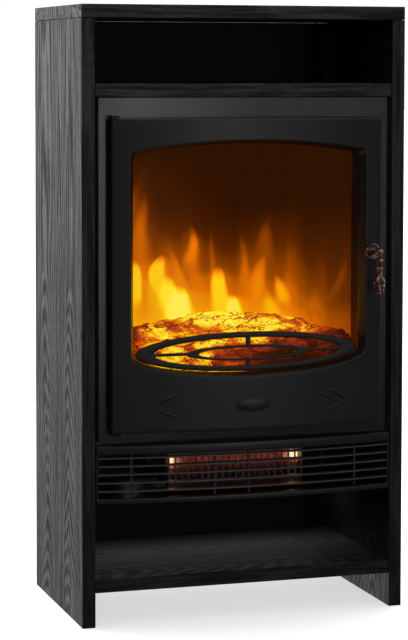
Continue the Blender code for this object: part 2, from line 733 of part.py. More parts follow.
def make_controls(panel_finish, plastic, board_finish, metal):
    """Control plate behind the door with four rocker switches and the thermostat knob."""
    front = FRAME_BACK + GAP
    rear = front + 0.0015
    loops = [rectangle((-0.135, 0.328), (0.135, 0.390))]
    half_width, half_height = PADDLE_WIDTH / 2 + 0.0006, PADDLE_HEIGHT / 2 + 0.0013
    for x in SWITCH_PLACES:
        low = (x - half_width, SWITCH_Z - half_height)
        loops.append(rectangle(low, (x + half_width, SWITCH_Z + half_height)))
    hole = 0.003 + RUNNING
    loops.append([(KNOB_X + u, SWITCH_Z + v) for u, v in ellipse(hole, hole, 0.0, 24)])
    prism("control_panel", loops, "Y", front, rear, panel_finish)

    bank_front = rear + GAP
    bank_low = (SWITCH_PLACES[0] - 0.013, bank_front, SWITCH_Z - 0.015)
    bank_high = (SWITCH_PLACES[-1] + 0.013, bank_front + 0.018, SWITCH_Z + 0.015)
    bank = box("switch_bank", bank_low, bank_high, plastic)
    pockets = []
    for x in SWITCH_PLACES:
        low = (x - half_width, bank_front - 0.002, SWITCH_Z - half_height)
        pockets.append((low, (x + half_width, bank_front + 0.009, SWITCH_Z + half_height)))
    cut(bank, boxes("switch_pockets", pockets))

    half = PADDLE_HEIGHT / 2
    paddle = [(-0.0066, -half), (-0.0080, 0.0), (-0.0066, half), (0.0030, half), (0.0030, -half)]
    tilt = Matrix.Rotation(SWITCH_TILT, 2)
    outline = [tuple(tilt @ Vector(point)) for point in paddle]
    for name, x in zip(SWITCH_NAMES, SWITCH_PLACES):
        pivot = (SWITCH_PIVOT_Y, SWITCH_Z)
        prism(name, [outline], "X", x - PADDLE_WIDTH / 2, x + PADDLE_WIDTH / 2, plastic, offset=pivot)

    knob_profile = [
        (0.0, 0.0180),
        (KNOB_RADIUS - 0.0030, 0.0180),
        (KNOB_RADIUS - 0.0015, 0.0165),
        (KNOB_RADIUS, 0.0005),
        (0.0030, 0.0005),
        (0.0030, -0.0105),
        (0.0, -0.0105),
    ]
    knob = turned("thermostat_knob", knob_profile, "-Y", (KNOB_X, front, SWITCH_Z), plastic, 28)
    join(
        knob,
        box(
            "knob_grip",
            (KNOB_X - 0.0022, front - 0.0205, SWITCH_Z - 0.0125),
            (KNOB_X + 0.0022, front - 0.0120, SWITCH_Z + 0.0125),
        ),
    )
    stat_low = (KNOB_X - 0.015, front + 0.0108, SWITCH_Z - 0.015)
    box("thermostat", stat_low, (KNOB_X + 0.015, front + 0.030, SWITCH_Z + 0.015), metal, 0.001)
    box("control_board", (-0.110, FRONT + 0.0440, 0.330), (0.060, FRONT + 0.0456, 0.386), board_finish)


# Door


def door_face(x, inset=0.0):
    """How far back the door's bowed front is at x."""
    return DOOR_EDGE - DOOR_BOW * (1 - (x / DOOR_HALF) ** 2) + inset


def door_plan(inset, back, half=DOOR_HALF):
    """Outline from above of the door's block, with its bowed front moved in by the inset."""
    half -= inset
    places = [-half + 2 * half * i / BOW_STEPS for i in range(BOW_STEPS + 1)]
    return [(x, door_face(x, inset)) for x in places] + [(half, back), (-half, back)]


def window_outline(sizes, margin=0.0):
    """The window from the front: upright sides, a low arch on top and an elliptical sag below."""
    half, top, sag, corner = (size + margin for size in sizes)

    def arch(x):
        return top - WINDOW_RISE * (x / half) ** 2

    inner = half - corner
    shoulder = arch(inner) - corner
    points = []
    for i in range(5):
        turn = math.radians(90 * i / 5)
        points.append((inner + corner * math.cos(turn), shoulder + corner * math.sin(turn)))
    points += [(inner - 2 * inner * i / 12, arch(inner - 2 * inner * i / 12)) for i in range(13)]
    points += [(-x, z) for x, z in reversed(points[:5])]
    points += ellipse(half, sag, WINDOW_WAIST, 24, math.pi, math.pi)
    return points


def window_cutter():
    """A block that cuts the window: straight in front, tapering through the rim and straight behind it."""
    front, back = window_outline(WINDOW_FRONT), window_outline(WINDOW_BACK)
    rings = [
        [(x, DOOR_EDGE - 0.050, z) for x, z in front],
        [(x, door_face(x), z) for x, z in front],
        [(x, RIM_BACK, z) for x, z in back],
        [(x, DOOR_BACK + 0.020, z) for x, z in back],
    ]
    shape = bmesh.new()
    loops = [[shape.verts.new(point) for point in ring] for ring in rings]
    shape.faces.new(loops[0])
    shape.faces.new(list(reversed(loops[-1])))
    for near, far in zip(loops, loops[1:]):
        for i in range(len(near)):
            j = (i + 1) % len(near)
            shape.faces.new((near[i], far[i], far[j], near[j]))
    bmesh.ops.triangulate(shape, faces=shape.faces)
    bmesh.ops.recalc_face_normals(shape, faces=shape.faces)
    mesh = bpy.data.meshes.new("window_hole")
    shape.to_mesh(mesh)
    shape.free()
    return place("window_hole", mesh)


def relief_stroke(name, points, thickest):
    """A raised stroke on the door that thins out to one end. Points are seen from the front."""
    curve = bpy.data.curves.new(name, "CURVE")
    curve.dimensions = "3D"
    curve.bevel_depth = thickest
    curve.bevel_resolution = 1
    curve.use_fill_caps = True
    spline = curve.splines.new("POLY")
    spline.points.add(len(points) - 1)
    for i, (point, (x, z)) in enumerate(zip(spline.points, points)):
        point.co = (x, door_face(x) + 0.0004, z, 1.0)
        point.radius = 1.0 - 0.75 * i / (len(points) - 1)
    holder = bpy.data.objects.new(name + "_curve", curve)
    bpy.context.scene.collection.objects.link(holder)
    bpy.context.view_layer.update()
    mesh = bpy.data.meshes.new_from_object(holder.evaluated_get(bpy.context.evaluated_depsgraph_get()))
    bpy.data.objects.remove(holder)
    shape = bmesh.new()
    shape.from_mesh(mesh)
    bmesh.ops.remove_doubles(shape, verts=shape.verts, dist=1e-6)
    shape.to_mesh(mesh)
    shape.free()
    mesh.materials.clear()
    return place(name, mesh)


def stroke_line(start, bend, end, steps=6):
    """Points along a bent line between two ends."""
    points = []
    for i in range(steps + 1):
        t = i / steps
        points.append(
            tuple((1 - t) ** 2 * a + 2 * t * (1 - t) * b + t * t * c for a, b, c in zip(start, bend, end))
        )
    return points


def make_door_panel(metal):
    """Bowed steel pan with a deep rim round the window, a raised oval and two raised leaves."""
    outer_plan = door_plan(0.0, DOOR_BACK)
    panel = prism("door_panel", [outer_plan], "Z", DOOR_BOTTOM, DOOR_TOP, metal)
    hollow_plan = door_plan(DOOR_SHEET, DOOR_BACK + 0.010)
    hollow = prism("pan_hollow", [hollow_plan], "Z", DOOR_BOTTOM + DOOR_SHEET, DOOR_TOP - DOOR_SHEET)
    rim = window_outline(WINDOW_FRONT, RIM_WALL)
    cut(hollow, prism("window_rim", [rim], "Y", DOOR_EDGE - 0.040, RIM_BACK))
    cut(panel, hollow, window_cutter())
    across = (HINGE_X, HINGE_Y)
    for name, low in (("lower_pin_hole", DOOR_BOTTOM), ("upper_pin_hole", DOOR_TOP - DOOR_SHEET)):
        cut(panel, bar(name, PIN_RADIUS + RUNNING, "Z", low - 0.002, low + DOOR_SHEET + 0.002, across))
    oval = bmesh.new()
    bmesh.ops.create_uvsphere(oval, u_segments=20, v_segments=10, radius=1.0)
    bmesh.ops.scale(oval, vec=(0.029, 0.004, 0.0115), verts=oval.verts)
    mesh = bpy.data.meshes.new("raised_oval")
    oval.to_mesh(mesh)
    oval.free()
    join(panel, place("raised_oval", mesh, None, location=(0, door_face(0) + 0.0015, 0.357)))
    strokes = (
        ("leaf_upper", (0.157, 0.3600), (0.147, 0.3730), (0.118, 0.3780), 0.0026),
        ("leaf_lower", (0.155, 0.3545), (0.140, 0.3440), (0.110, 0.3405), 0.0020),
        ("leaf_vein", (0.134, 0.3600), (0.124, 0.3690), (0.104, 0.3730), 0.0016),
    )
    for side_name, side in (("left", -1), ("right", 1)):
        for name, start, bend, end, thickest in strokes:
            points = stroke_line(start, bend, end)
            line = [(side * x, z) for x, z in points]
            join(panel, relief_stroke(f"{side_name}_{name}", line, thickest))
    return panel


def fret_face(x):
    """How far back the fret's front is at x."""
    ends = RIM_BACK - GAP - FRET_THICK
    return ends - FRET_BULGE * (1 - (x / FRET_HALF) ** 2)


def make_fret(metal):
    """Oval fret in the lower window: an outer ring, an inner ring and the bars between them."""
    places = [-FRET_HALF + 2 * FRET_HALF * i / BOW_STEPS for i in range(BOW_STEPS + 1)]
    front = [(x, fret_face(x)) for x in places]
    rear = [(x, fret_face(x) + FRET_THICK) for x in reversed(places)]
    low, high = FRET_CENTRE - FRET_HEIGHT - 0.002, FRET_CENTRE + FRET_HEIGHT + 0.002
    fret = prism("door_fret", [front + rear], "Z", low, high, metal)
    outline = ellipse(FRET_HALF, FRET_HEIGHT, FRET_CENTRE, 48)
    oval = prism("fret_oval", [outline], "Y", FRONT - 0.06, FRONT + 0.01)
    combine(fret, oval, "INTERSECT")
    slots = prism("fret_slots", [ellipse(*FRET_SLOTS, 44)], "Y", FRONT - 0.07, FRONT + 0.02)
    ring = prism("fret_inner_ring", [ellipse(*FRET_RING, 36)], "Y", FRONT - 0.08, FRONT + 0.03)
    bars = boxes(
        "fret_bars",
        [
            ((-FRET_HALF, FRONT - 0.08, FRET_BAR[0]), (FRET_HALF, FRONT + 0.03, FRET_BAR[1])),
            ((-0.004, FRONT - 0.09, low), (0.004, FRONT + 0.04, high)),
        ],
    )
    centre_slot = prism("fret_centre_slot", [ellipse(*FRET_CENTRE_SLOT, 32)], "Y", FRONT - 0.07, FRONT + 0.02)
    cut(slots, ring, bars)
    cut(fret, slots, centre_slot)
    return fret


def make_glass(glass, steel):
    """Flat glass behind the window rim and the two spring strips that hold it."""
    front = RIM_BACK + GAP
    rear = front + GLASS_THICK
    pane = box("door_glass", (-GLASS_HALF, front, 0.397), (GLASS_HALF, rear, 0.792), glass)
    strips = []
    for name, side in (("left_glass_clip", -1), ("right_glass_clip", 1)):
        near, far = sorted((side * 0.194, side * 0.204))
        strips.append(box(name, (near, rear + GAP, 0.430), (far, rear + GAP + 0.0012, 0.760), steel))
    return [pane, *strips]


def make_hinges(metal, steel):
    """Tabs on the front frame with the pins that the door turns on."""
    across = (HINGE_X, HINGE_Y)
    tab, lift, head = 0.0020, 0.0015, 0.0015
    for name, edge, up in (("upper", DOOR_TOP, 1), ("lower", DOOR_BOTTOM, -1)):
        low, high = sorted((edge + up * lift, edge + up * (lift + tab)))
        near = (HINGE_X - 0.007, HINGE_Y - 0.006, low)
        plate = box(f"{name}_hinge_tab", near, (HINGE_X + 0.007, FRAME_FACE - GAP, high), metal)
        cut(plate, bar(f"{name}_tab_hole", PIN_RADIUS + RUNNING, "Z", low - 0.002, high + 0.002, across))
        under = lift + tab + GAP
        profile = [
            (0.0, under + head),
            (0.0040, under + head),
            (0.0040, under),
            (PIN_RADIUS, under),
            (PIN_RADIUS, -0.0060),
            (0.0, -0.0060),
        ]
        if up < 0:
            profile = [(radius, -height) for radius, height in reversed(profile)]
        turned(f"{name}_hinge_pin", profile, "Z", (*across, edge), steel)


def make_catch(plastic, steel):
    """Magnet block on the front frame and the plate on the door that it holds."""
    box("magnet_catch", (0.207, FRONT - 0.012, 0.640), (0.223, FRAME_FACE - GAP, 0.668), plastic)
    return box("strike_plate", (0.206, FRONT - 0.0155, 0.638), (0.224, FRONT - 0.0123, 0.670), steel)


def turn_about(pieces, centre, angle):
    """Turns pieces about an upright line through the centre."""
    bpy.context.view_layer.update()
    there, back = Matrix.Translation(centre), Matrix.Translation(-centre)
    for piece in pieces:
        piece.matrix_world = there @ Matrix.Rotation(angle, 4, "Z") @ back @ piece.matrix_world


def make_handle(copper):
    """Round rosette, a post that ends in a slotted ball, and the drop pull on its cross pin.

    All are made square to the cabinet's front and then turned with the door's bow.
    """
    seat = Vector((HANDLE_X, door_face(HANDLE_X), HANDLE_Z))
    ball = seat - Vector((0, BALL_STAND, 0))
    rosette_profile = [
        (0.0, 0.0052),
        (0.0050, 0.0050),
        (0.0070, 0.0026),
        (0.0097, 0.0030),
        (0.0115, 0.0052),
        (ROSETTE_RADIUS - 0.0002, 0.0040),
        (ROSETTE_RADIUS, 0.0015),
        (ROSETTE_RADIUS, -0.0050),
        (0.0, -0.0050),
    ]
    rosette = turned("handle_rosette", rosette_profile, "-Y", seat, copper, 32)

    neck = 0.0030
    post_profile = [(0.0, BALL_STAND + BALL_RADIUS)]
    for i in range(1, 8):
        turn = math.radians(20 * i)
        post_profile.append((BALL_RADIUS * math.sin(turn), BALL_STAND + BALL_RADIUS * math.cos(turn)))
    post_profile += [(neck, BALL_STAND - 0.0060), (neck, 0.0078), (0.0046, 0.0055), (0.0, 0.0055)]
    post = turned("handle_post", post_profile, "-Y", seat, copper, 18)
    pin = 0.0012
    across = (ball.y, ball.z)
    slot_low = ball - Vector((PULL_SLOT, 0.009, 0.009))
    slot = box("ball_slot", slot_low, ball + Vector((PULL_SLOT, 0.0042, 0.0042)))
    pin_hole = bar("ball_pin_hole", pin + RUNNING, "X", ball.x - 0.010, ball.x + 0.010, across, None, 16)
    cross_pin = bar("pull_pin", pin, "X", ball.x - 0.0064, ball.x + 0.0064, across, copper, 16)

    pull_profile = [
        (0.0, -0.0100),
        (0.0040, -0.0100),
        (0.0062, -0.0115),
        (0.0062, -0.0130),
        (0.0046, -0.0150),
        (0.0042, -0.0360),
        (0.0064, -0.0430),
        (PULL_RADIUS - 0.0007, -0.0510),
        (PULL_RADIUS, -0.0550),
        (0.0085, -0.0620),
        (0.0068, -0.0675),
        (0.0060, -0.0690),
        (0.0, -0.0690),
    ]
    pull = turned("handle_pull", pull_profile, "Z", ball, copper, 20)
    tongue_half = PULL_SLOT - GAP
    tongue = bar("pull_tongue", 0.0038, "X", ball.x - tongue_half, ball.x + tongue_half, across, None, 20)
    stem_half = tongue_half * 0.99
    stem_low = ball - Vector((stem_half, 0.0022, 0.0110))
    stem = box("pull_stem", stem_low, ball + Vector((stem_half, 0.0022, -0.0005)))
    eye = bar("pull_eye", pin + RUNNING, "X", ball.x - 0.011, ball.x + 0.011, across, None, 16)

    pieces = (rosette, post, slot, pin_hole, cross_pin, pull, tongue, stem, eye)
    turn_about(pieces, seat, HANDLE_TURN)
    cut(rosette, prism("door_front_block", [door_plan(-GAP, DOOR_BACK)], "Z", 0.560, 0.640))
    cut(post, slot, pin_hole)
    join(pull, stem, tongue)
    cut(pull, eye)
    return rosette, post, cross_pin, pull


def make_door():
    """The door with all that turns with it, and the pull on its own axis."""
    black, steel, copper = FINISHES["black_metal"], FINISHES["steel"], FINISHES["copper"]
    pieces = [make_door_panel(black), make_fret(FINISHES["fret_iron"]), *make_glass(FINISHES["glass"], steel)]
    pieces.append(make_catch(FINISHES["black_plastic"], steel))
    rosette, post, cross_pin, pull = make_handle(copper)
    make_hinges(black, steel)
    door_axis = axis_point("door_axis", (HINGE_X, HINGE_Y, (DOOR_BOTTOM + DOOR_TOP) / 2))
    carry(door_axis, *pieces, rosette, post, cross_pin)
    pull_axis = axis_point("pull_axis", pull.location)
    carry(pull_axis, pull)
    carry(door_axis, pull_axis)


def make_finishes():
    """One plain material for each finish of the real pieces."""
    return {
        "black_ash": material("black_ash", (0.035, 0.034, 0.033), 0.55),
        "hardboard": material("hardboard", (0.020, 0.020, 0.020), 0.70),
        "black_metal": material("black_metal", (0.018, 0.018, 0.019), 0.42, 0.2),
        "fret_iron": material("fret_iron", (0.012, 0.012, 0.012), 0.50, 0.3),
        "steel": material("steel", (0.55, 0.56, 0.57), 0.35, 1.0),
        "case_steel": material("case_steel", (0.30, 0.31, 0.32), 0.40, 1.0),
        "copper": material("copper", (0.20, 0.095, 0.060), 0.38, 1.0),
        "glass": material("glass", (0.05, 0.05, 0.05), 0.05),
        "screen": material("screen", (0.30, 0.10, 0.02), 0.30),
        "embers": material("embers", (0.75, 0.30, 0.05), 0.60),
        "mesh": material("mesh", (0.45, 0.16, 0.07), 0.45, 0.8),
        "element": material("element", (0.62, 0.58, 0.52), 0.60),
        "black_plastic": material("black_plastic", (0.025, 0.025, 0.026), 0.45),
        "board_green": material("board_green", (0.03, 0.16, 0.07), 0.40),
        "foil": material("foil", (0.80, 0.80, 0.82), 0.15, 1.0),
    }


def main():
    make_cabinet(FINISHES["black_ash"], FINISHES["hardboard"])
    make_support_rails(FINISHES["case_steel"])
    make_insert_case(FINISHES["case_steel"])
    make_front_frame(FINISHES["black_metal"])
    make_firebox(FINISHES["black_metal"], FINISHES["screen"], FINISHES["embers"])
    make_lamps(FINISHES["board_green"])
    make_flame_mask(FINISHES["black_metal"])
    make_flame_spindle(FINISHES["foil"], FINISHES["steel"], FINISHES["case_steel"])
    make_duct(FINISHES["case_steel"])
    make_outlet_mesh(FINISHES["mesh"])
    make_heating_element(FINISHES["element"])
    make_fan(FINISHES["black_plastic"], FINISHES["steel"], FINISHES["case_steel"])
    make_grille(FINISHES["black_metal"])
    make_controls(
        FINISHES["black_metal"], FINISHES["black_plastic"], FINISHES["board_green"], FINISHES["case_steel"]
    )
    make_door()


for old in list(bpy.data.objects):
    bpy.data.objects.remove(old)
bpy.context.scene.collection.children.link(PARTS)
bpy.context.scene.collection.children.link(CUTTERS)
FINISHES = make_finishes()
main()
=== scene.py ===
"""Cabinet fireplace with a bowed stove door, a glowing fuel bed and lit flames, in a pale studio."""

import math
import random

import bmesh
import bpy
from mathutils import Matrix, Vector, noise


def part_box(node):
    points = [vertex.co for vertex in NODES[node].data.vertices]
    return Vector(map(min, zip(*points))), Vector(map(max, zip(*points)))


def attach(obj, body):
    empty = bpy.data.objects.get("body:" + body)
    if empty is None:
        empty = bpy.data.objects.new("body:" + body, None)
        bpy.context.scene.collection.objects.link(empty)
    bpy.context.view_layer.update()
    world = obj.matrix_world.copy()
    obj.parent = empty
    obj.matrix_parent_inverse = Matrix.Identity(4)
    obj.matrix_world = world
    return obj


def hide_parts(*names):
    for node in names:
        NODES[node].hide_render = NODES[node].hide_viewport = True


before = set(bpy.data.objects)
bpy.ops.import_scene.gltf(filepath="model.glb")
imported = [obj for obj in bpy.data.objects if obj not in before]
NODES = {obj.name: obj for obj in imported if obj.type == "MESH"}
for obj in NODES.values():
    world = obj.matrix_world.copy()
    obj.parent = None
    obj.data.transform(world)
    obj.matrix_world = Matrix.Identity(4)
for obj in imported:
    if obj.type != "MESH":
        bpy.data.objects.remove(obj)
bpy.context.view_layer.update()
rng = random.Random(7)

# Main sizes, in metres. FRONT is the plane of the cabinet's front edges.
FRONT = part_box("left_side_panel")[0].y
DOOR_HALF = 0.2285
DOOR_LOW, DOOR_HIGH = 0.316, 0.818
DOOR_BACK = FRONT + 0.004
DOOR_EDGE = FRONT - 0.018
DOOR_BOW = 0.020
DOOR_ROUND = 0.0026
DOOR_SHEET = 0.0015
WINDOW_WAIST = 0.440
# Half width, top, drop below the waist and corner radius of the window, in front and behind.
WINDOW = (0.2000, 0.7830, 0.0360, 0.0120)
WINDOW_BEHIND = (0.1925, 0.7775, 0.0335, 0.0080)
ROLL_DROP = 0.0012
RIM_BACK = FRONT - 0.006
HANDLE_X, HANDLE_Z = 0.2105, 0.599
HANDLE_TURN = math.atan(2 * DOOR_BOW * HANDLE_X / DOOR_HALF**2)
BALL_STAND = 0.0245
GRILLE_HALF, GRILLE_BOW = 0.251, 0.023
BLADE_HALF, BLADE_THICK, BLADE_DEEP = 0.2487, 0.0022, 0.014
RAIL_DEEP = 0.020
SCREEN_THICK = 0.003
BED_UNDERSIDE = 0.4025
BALL_RADIUS = 0.0060


# Shader maths


class Signal:
    """One output of a shader node. Numbers and signals can be added, multiplied and compared with it."""

    def __init__(self, graph, socket):
        self.graph = graph
        self.socket = socket

    def maths(self, operation, *values):
        return self.graph.use("ShaderNodeMath", {"operation": operation}, dict(enumerate(values)))

    def __add__(self, other):
        return self.maths("ADD", self, other)

    def __radd__(self, other):
        return self.maths("ADD", other, self)

    def __sub__(self, other):
        return self.maths("SUBTRACT", self, other)

    def __rsub__(self, other):
        return self.maths("SUBTRACT", other, self)

    def __mul__(self, other):
        return self.maths("MULTIPLY", self, other)

    def __rmul__(self, other):
        return self.maths("MULTIPLY", other, self)

    def size(self):
        return self.maths("ABSOLUTE", self)

    def least(self, other):
        return self.maths("MINIMUM", self, other)

    def most(self, other):
        return self.maths("MAXIMUM", self, other)

    def fold(self, width):
        """Goes up to width and back down to 0, over and over."""
        return self.maths("PINGPONG", self, width)

    def wave(self):
        return self.maths("SINE", self)

    def rise(self, low, high):
        """0 below low, 1 above high and smooth between them."""
        places = {"Value": self, "From Min": low, "From Max": high}
        return self.graph.use("ShaderNodeMapRange", {"interpolation_type": "SMOOTHSTEP"}, places)

    def between(self, first, second):
        """A colour or number that goes from first to second as this goes from 0 to 1."""
        values = {"Factor": self, 6: first, 7: second}
        settings = {"data_type": "RGBA", "clamp_factor": True}
        return self.graph.use("ShaderNodeMix", settings, values, 2)


class Graph:
    """The nodes of one material, which ends in a Principled shader."""

    def __init__(self, name, **constants):
        self.material = bpy.data.materials.new(name)
        self.material.use_nodes = True
        self.tree = self.material.node_tree
        self.shader = self.tree.nodes["Principled BSDF"]
        for key, value in constants.items():
            self.set(key.replace("_", " ").title().replace("Ior", "IOR"), value)

    def set(self, socket, value):
        self.connect(self.shader.inputs[socket], value)

    def connect(self, socket, value):
        if isinstance(value, Signal):
            self.tree.links.new(value.socket, socket)
        elif isinstance(value, tuple) and len(value) == 3 and socket.type == "RGBA":
            socket.default_value = (*value, 1.0)
        else:
            socket.default_value = value

    def use(self, kind, settings, values, output=0):
        """Makes a node of this type, with its settings first and then its socket values or links."""
        made = self.tree.nodes.new(kind)
        for key, value in settings.items():
            setattr(made, key, value)
        for key, value in values.items():
            self.connect(made.inputs[key], value)
        return Signal(self, made.outputs[output])

    def place(self, scale=(1, 1, 1), shift=(0, 0, 0)):
        """The point on the piece, stretched and moved."""
        point = self.use("ShaderNodeTexCoord", {}, {}, "Object")
        return self.use("ShaderNodeMapping", {}, {"Vector": point, "Scale": scale, "Location": shift})

    def axes(self, point):
        parts = self.tree.nodes.new("ShaderNodeSeparateXYZ")
        self.tree.links.new(point.socket, parts.inputs[0])
        return [Signal(self, output) for output in parts.outputs]

    def cloud(self, point, scale, detail=4.0, roughness=0.5, distortion=0.0):
        values = {
            "Vector": point,
            "Scale": scale,
            "Detail": detail,
            "Roughness": roughness,
            "Distortion": distortion,
        }
        return self.use("ShaderNodeTexNoise", {}, values)

    def cells(self, point, scale, feature="DISTANCE_TO_EDGE"):
        return self.use("ShaderNodeTexVoronoi", {"feature": feature}, {"Vector": point, "Scale": scale})

    def relief(self, height, distance):
        """Gives the surface this height map."""
        self.set("Normal", self.use("ShaderNodeBump", {}, {"Height": height, "Distance": distance}))

    def ramp(self, value, stops):
        """Colours along a scale, from (place, colour) pairs."""
        made = self.tree.nodes.new("ShaderNodeValToRGB")
        scale = made.color_ramp
        for end, (spot, colour) in ((0, stops[0]), (1, stops[-1])):
            scale.elements[end].color = (*colour, 1.0)
        for spot, colour in stops[1:-1]:
            scale.elements.new(spot).color = (*colour, 1.0)
        self.tree.links.new(value.socket, made.inputs[0])
        return Signal(self, made.outputs[0])


# Materials


def ash_finish(name, along, sheen):
    """Black embossed ash foil. The grain runs along the named axis, in nested arches and long streaks."""
    graph = Graph(name, specular_ior_level=0.22, coat_roughness=0.34)
    slow, long, short = {
        "X": ((0.8, 5.0, 5.0), (1.0, 18.0, 18.0), (6.0, 60.0, 60.0)),
        "Z": ((5.0, 5.0, 0.8), (18.0, 18.0, 1.0), (60.0, 60.0, 6.0)),
    }[along]
    x, y, z = graph.axes(graph.place())
    across, length = (y, z) if along == "Z" else (y + z * 0.7, x)
    warp = graph.cloud(graph.place(slow), 1.4, 2.0, 0.4)
    drift = graph.cloud(graph.place(slow, (0.4, 0.2, 0.7)), 3.1, 1.0)
    heart = (across + 0.050 + (warp - 0.5) * 0.05).fold(0.0795)
    arches = (length + (warp - 0.5) * 0.10).least(0.55) * 27.0
    growth = heart * heart * 1050.0 + arches + warp * 6.0 + drift * 4.0
    rings = growth.fold(0.5) * 2.0
    behind_edge = y.rise(FRONT + 0.0008, FRONT + 0.0030)
    rings = rings * behind_edge + (1.0 - behind_edge) * 0.42
    streak = graph.cloud(graph.place(long), 8.0, 3.0, 0.55).rise(0.36, 0.66)
    pores = graph.cloud(graph.place(short), 13.0, 2.0, 0.6).rise(0.50, 0.64)
    ridge = (rings.rise(0.18, 0.92) * 0.62 + streak * 0.55).least(1.0) * (1.0 - pores * 0.55)
    graph.set("Base Color", ridge.between((0.0030, 0.0028, 0.0026), (0.0210, 0.0204, 0.0196)))
    graph.set("Coat Weight", ridge * sheen)
    graph.set("Roughness", 0.66 - ridge * 0.20)
    graph.relief(ridge, 0.0008)
    return graph.material


def coated_finish(name, colour, roughness):
    """Black coating on metal, with a very fine orange peel."""
    graph = Graph(name, specular_ior_level=0.5)
    peel = graph.cloud(graph.place(), 900.0, 2.0)
    patches = graph.cloud(graph.place(), 6.0, 3.0)
    graph.set("Base Color", patches.between(colour, tuple(1.25 * part for part in colour)))
    graph.set("Roughness", roughness + (patches - 0.5) * 0.08 + (peel - 0.5) * 0.06)
    graph.relief(peel, 0.00004)
    return graph.material


def cast_finish(name):
    """Matt black cast iron with a fine sandy skin."""
    graph = Graph(name, specular_ior_level=0.5)
    sand = graph.cloud(graph.place(), 1400.0, 3.0, 0.7)
    graph.set("Base Color", sand.between((0.018, 0.016, 0.014), (0.034, 0.030, 0.026)))
    graph.set("Roughness", 0.46 + sand * 0.14)
    graph.relief(sand, 0.00010)
    return graph.material


def zinc_finish(name):
    """Galvanised sheet with large soft crystals. Towards the front it is near black and not metallic, as
    painted shade for the dark inside behind the grille.
    """
    graph = Graph(name)
    # Painted shade: in front of this the sheet is made near black, standing in for the shade inside the case
    # behind the grille.
    zinc_outside_painted_shade = graph.axes(graph.place())[1].rise(0.080, 0.084)
    crystal = graph.cells(graph.place(), 90.0, "F1")
    cloud = graph.cloud(graph.place(), 20.0, 3.0)
    plain = (crystal * 3.0).between((0.42, 0.43, 0.44), (0.30, 0.31, 0.33))
    graph.set("Base Color", zinc_outside_painted_shade.between((0.008, 0.008, 0.008), plain))
    graph.set("Metallic", zinc_outside_painted_shade * 0.9)
    graph.set("Roughness", 0.34 + cloud * 0.16)
    graph.relief(crystal, 0.00005)
    return graph.material


def steel_finish(name, colour=(0.52, 0.51, 0.49)):
    """Bright drawn steel with fine lines."""
    graph = Graph(name, metallic=1.0)
    drawn = graph.cloud(graph.place((60.0, 60.0, 1.0)), 22.0, 3.0)
    graph.set("Base Color", drawn.between(colour, tuple(0.8 * part for part in colour)))
    graph.set("Roughness", 0.24 + drawn * 0.18)
    graph.relief(drawn, 0.00003)
    return graph.material


def plastic_finish(name):
    """Moulded black plastic with a fine spark-eroded texture."""
    graph = Graph(name, specular_ior_level=0.5)
    spark = graph.cloud(graph.place(), 2200.0, 2.0, 0.7)
    graph.set("Base Color", spark.between((0.012, 0.012, 0.013), (0.020, 0.020, 0.021)))
    graph.set("Roughness", 0.42 + spark * 0.12)
    graph.relief(spark, 0.00005)
    return graph.material


def fibreboard_finish(name):
    """Painted hardboard back with a pressed screen pattern."""
    graph = Graph(name, specular_ior_level=0.3)
    weave = graph.cells(graph.place(), 520.0, "F1")
    fibre = graph.cloud(graph.place((1.0, 1.0, 8.0)), 60.0, 4.0)
    graph.set("Base Color", fibre.between((0.0075, 0.0072, 0.0070), (0.0130, 0.0125, 0.0120)))
    graph.set("Roughness", 0.62 + fibre * 0.12)
    graph.relief(weave, 0.00012)
    return graph.material


def board_finish(name):
    """Green circuit board with copper tracks under its lacquer."""
    graph = Graph(name, specular_ior_level=0.5, roughness=0.35)
    x, _, z = graph.axes(graph.place())
    run = (x * 310.0).wave().most((z * 420.0).wave())
    tracks = run.rise(0.86, 0.94) * graph.cloud(graph.place(), 70.0, 1.0).rise(0.42, 0.5)
    graph.set("Base Color", tracks.between((0.008, 0.075, 0.030), (0.030, 0.170, 0.065)))
    graph.set("Metallic", tracks * 0.25)
    graph.relief(tracks, 0.00004)
    return graph.material


def foil_finish(name):
    """Crumpled bright foil."""
    graph = Graph(name, metallic=1.0)
    folds = graph.cells(graph.place(), 150.0, "F1")
    graph.set("Base Color", folds.between((0.86, 0.84, 0.80), (0.70, 0.67, 0.62)))
    graph.set("Roughness", 0.10 + folds * 0.10)
    graph.relief(folds, 0.0010)
    return graph.material


def copper_finish(name):
    """Dark antiqued copper, brighter where it is rubbed."""
    graph = Graph(name, metallic=0.95, specular_ior_level=0.5)
    wear = graph.cloud(graph.place(), 160.0, 4.0, 0.6)
    rubbed = wear.rise(0.46, 0.66)
    graph.set("Base Color", rubbed.between((0.10, 0.046, 0.036), (0.56, 0.36, 0.31)))
    graph.set("Roughness", 0.30 - rubbed * 0.10)
    graph.relief(wear, 0.00015)
    return graph.material


def glass_finish(name):
    """Clear heat-proof glass."""
    graph = Graph(name, transmission_weight=1.0, roughness=0.0, ior=1.03)
    smear = graph.cloud(graph.place((1.0, 1.0, 0.4)), 9.0, 3.0)
    graph.set("Base Color", smear.between((0.97, 0.97, 0.97), (1.0, 0.99, 0.98)))
    return graph.material


def flame_finish(name):
    """Back-lit screen. The piece's own heat says how bright each place is."""
    graph = Graph(name, roughness=0.9, specular_ior_level=0.0)
    heat = graph.use("ShaderNodeAttribute", {"attribute_name": "glow_level"}, {}, "Fac")
    grain = graph.cloud(graph.place(), 420.0, 2.0)
    warm = heat + (grain - 0.5) * 0.03
    stops = (
        (0.00, (0.010, 0.0028, 0.0)),
        (0.14, (0.028, 0.0058, 0.0)),
        (0.30, (0.095, 0.016, 0.0)),
        (0.46, (0.34, 0.064, 0.0)),
        (0.60, (0.80, 0.165, 0.0008)),
        (0.76, (0.96, 0.42, 0.003)),
        (0.90, (1.02, 0.68, 0.010)),
        (1.00, (1.06, 0.93, 0.13)),
    )
    graph.set("Base Color", (0.0008, 0.0004, 0.0002))
    graph.set("Emission Color", graph.ramp(warm, stops))
    graph.set("Emission Strength", 1.0)
    return graph.material


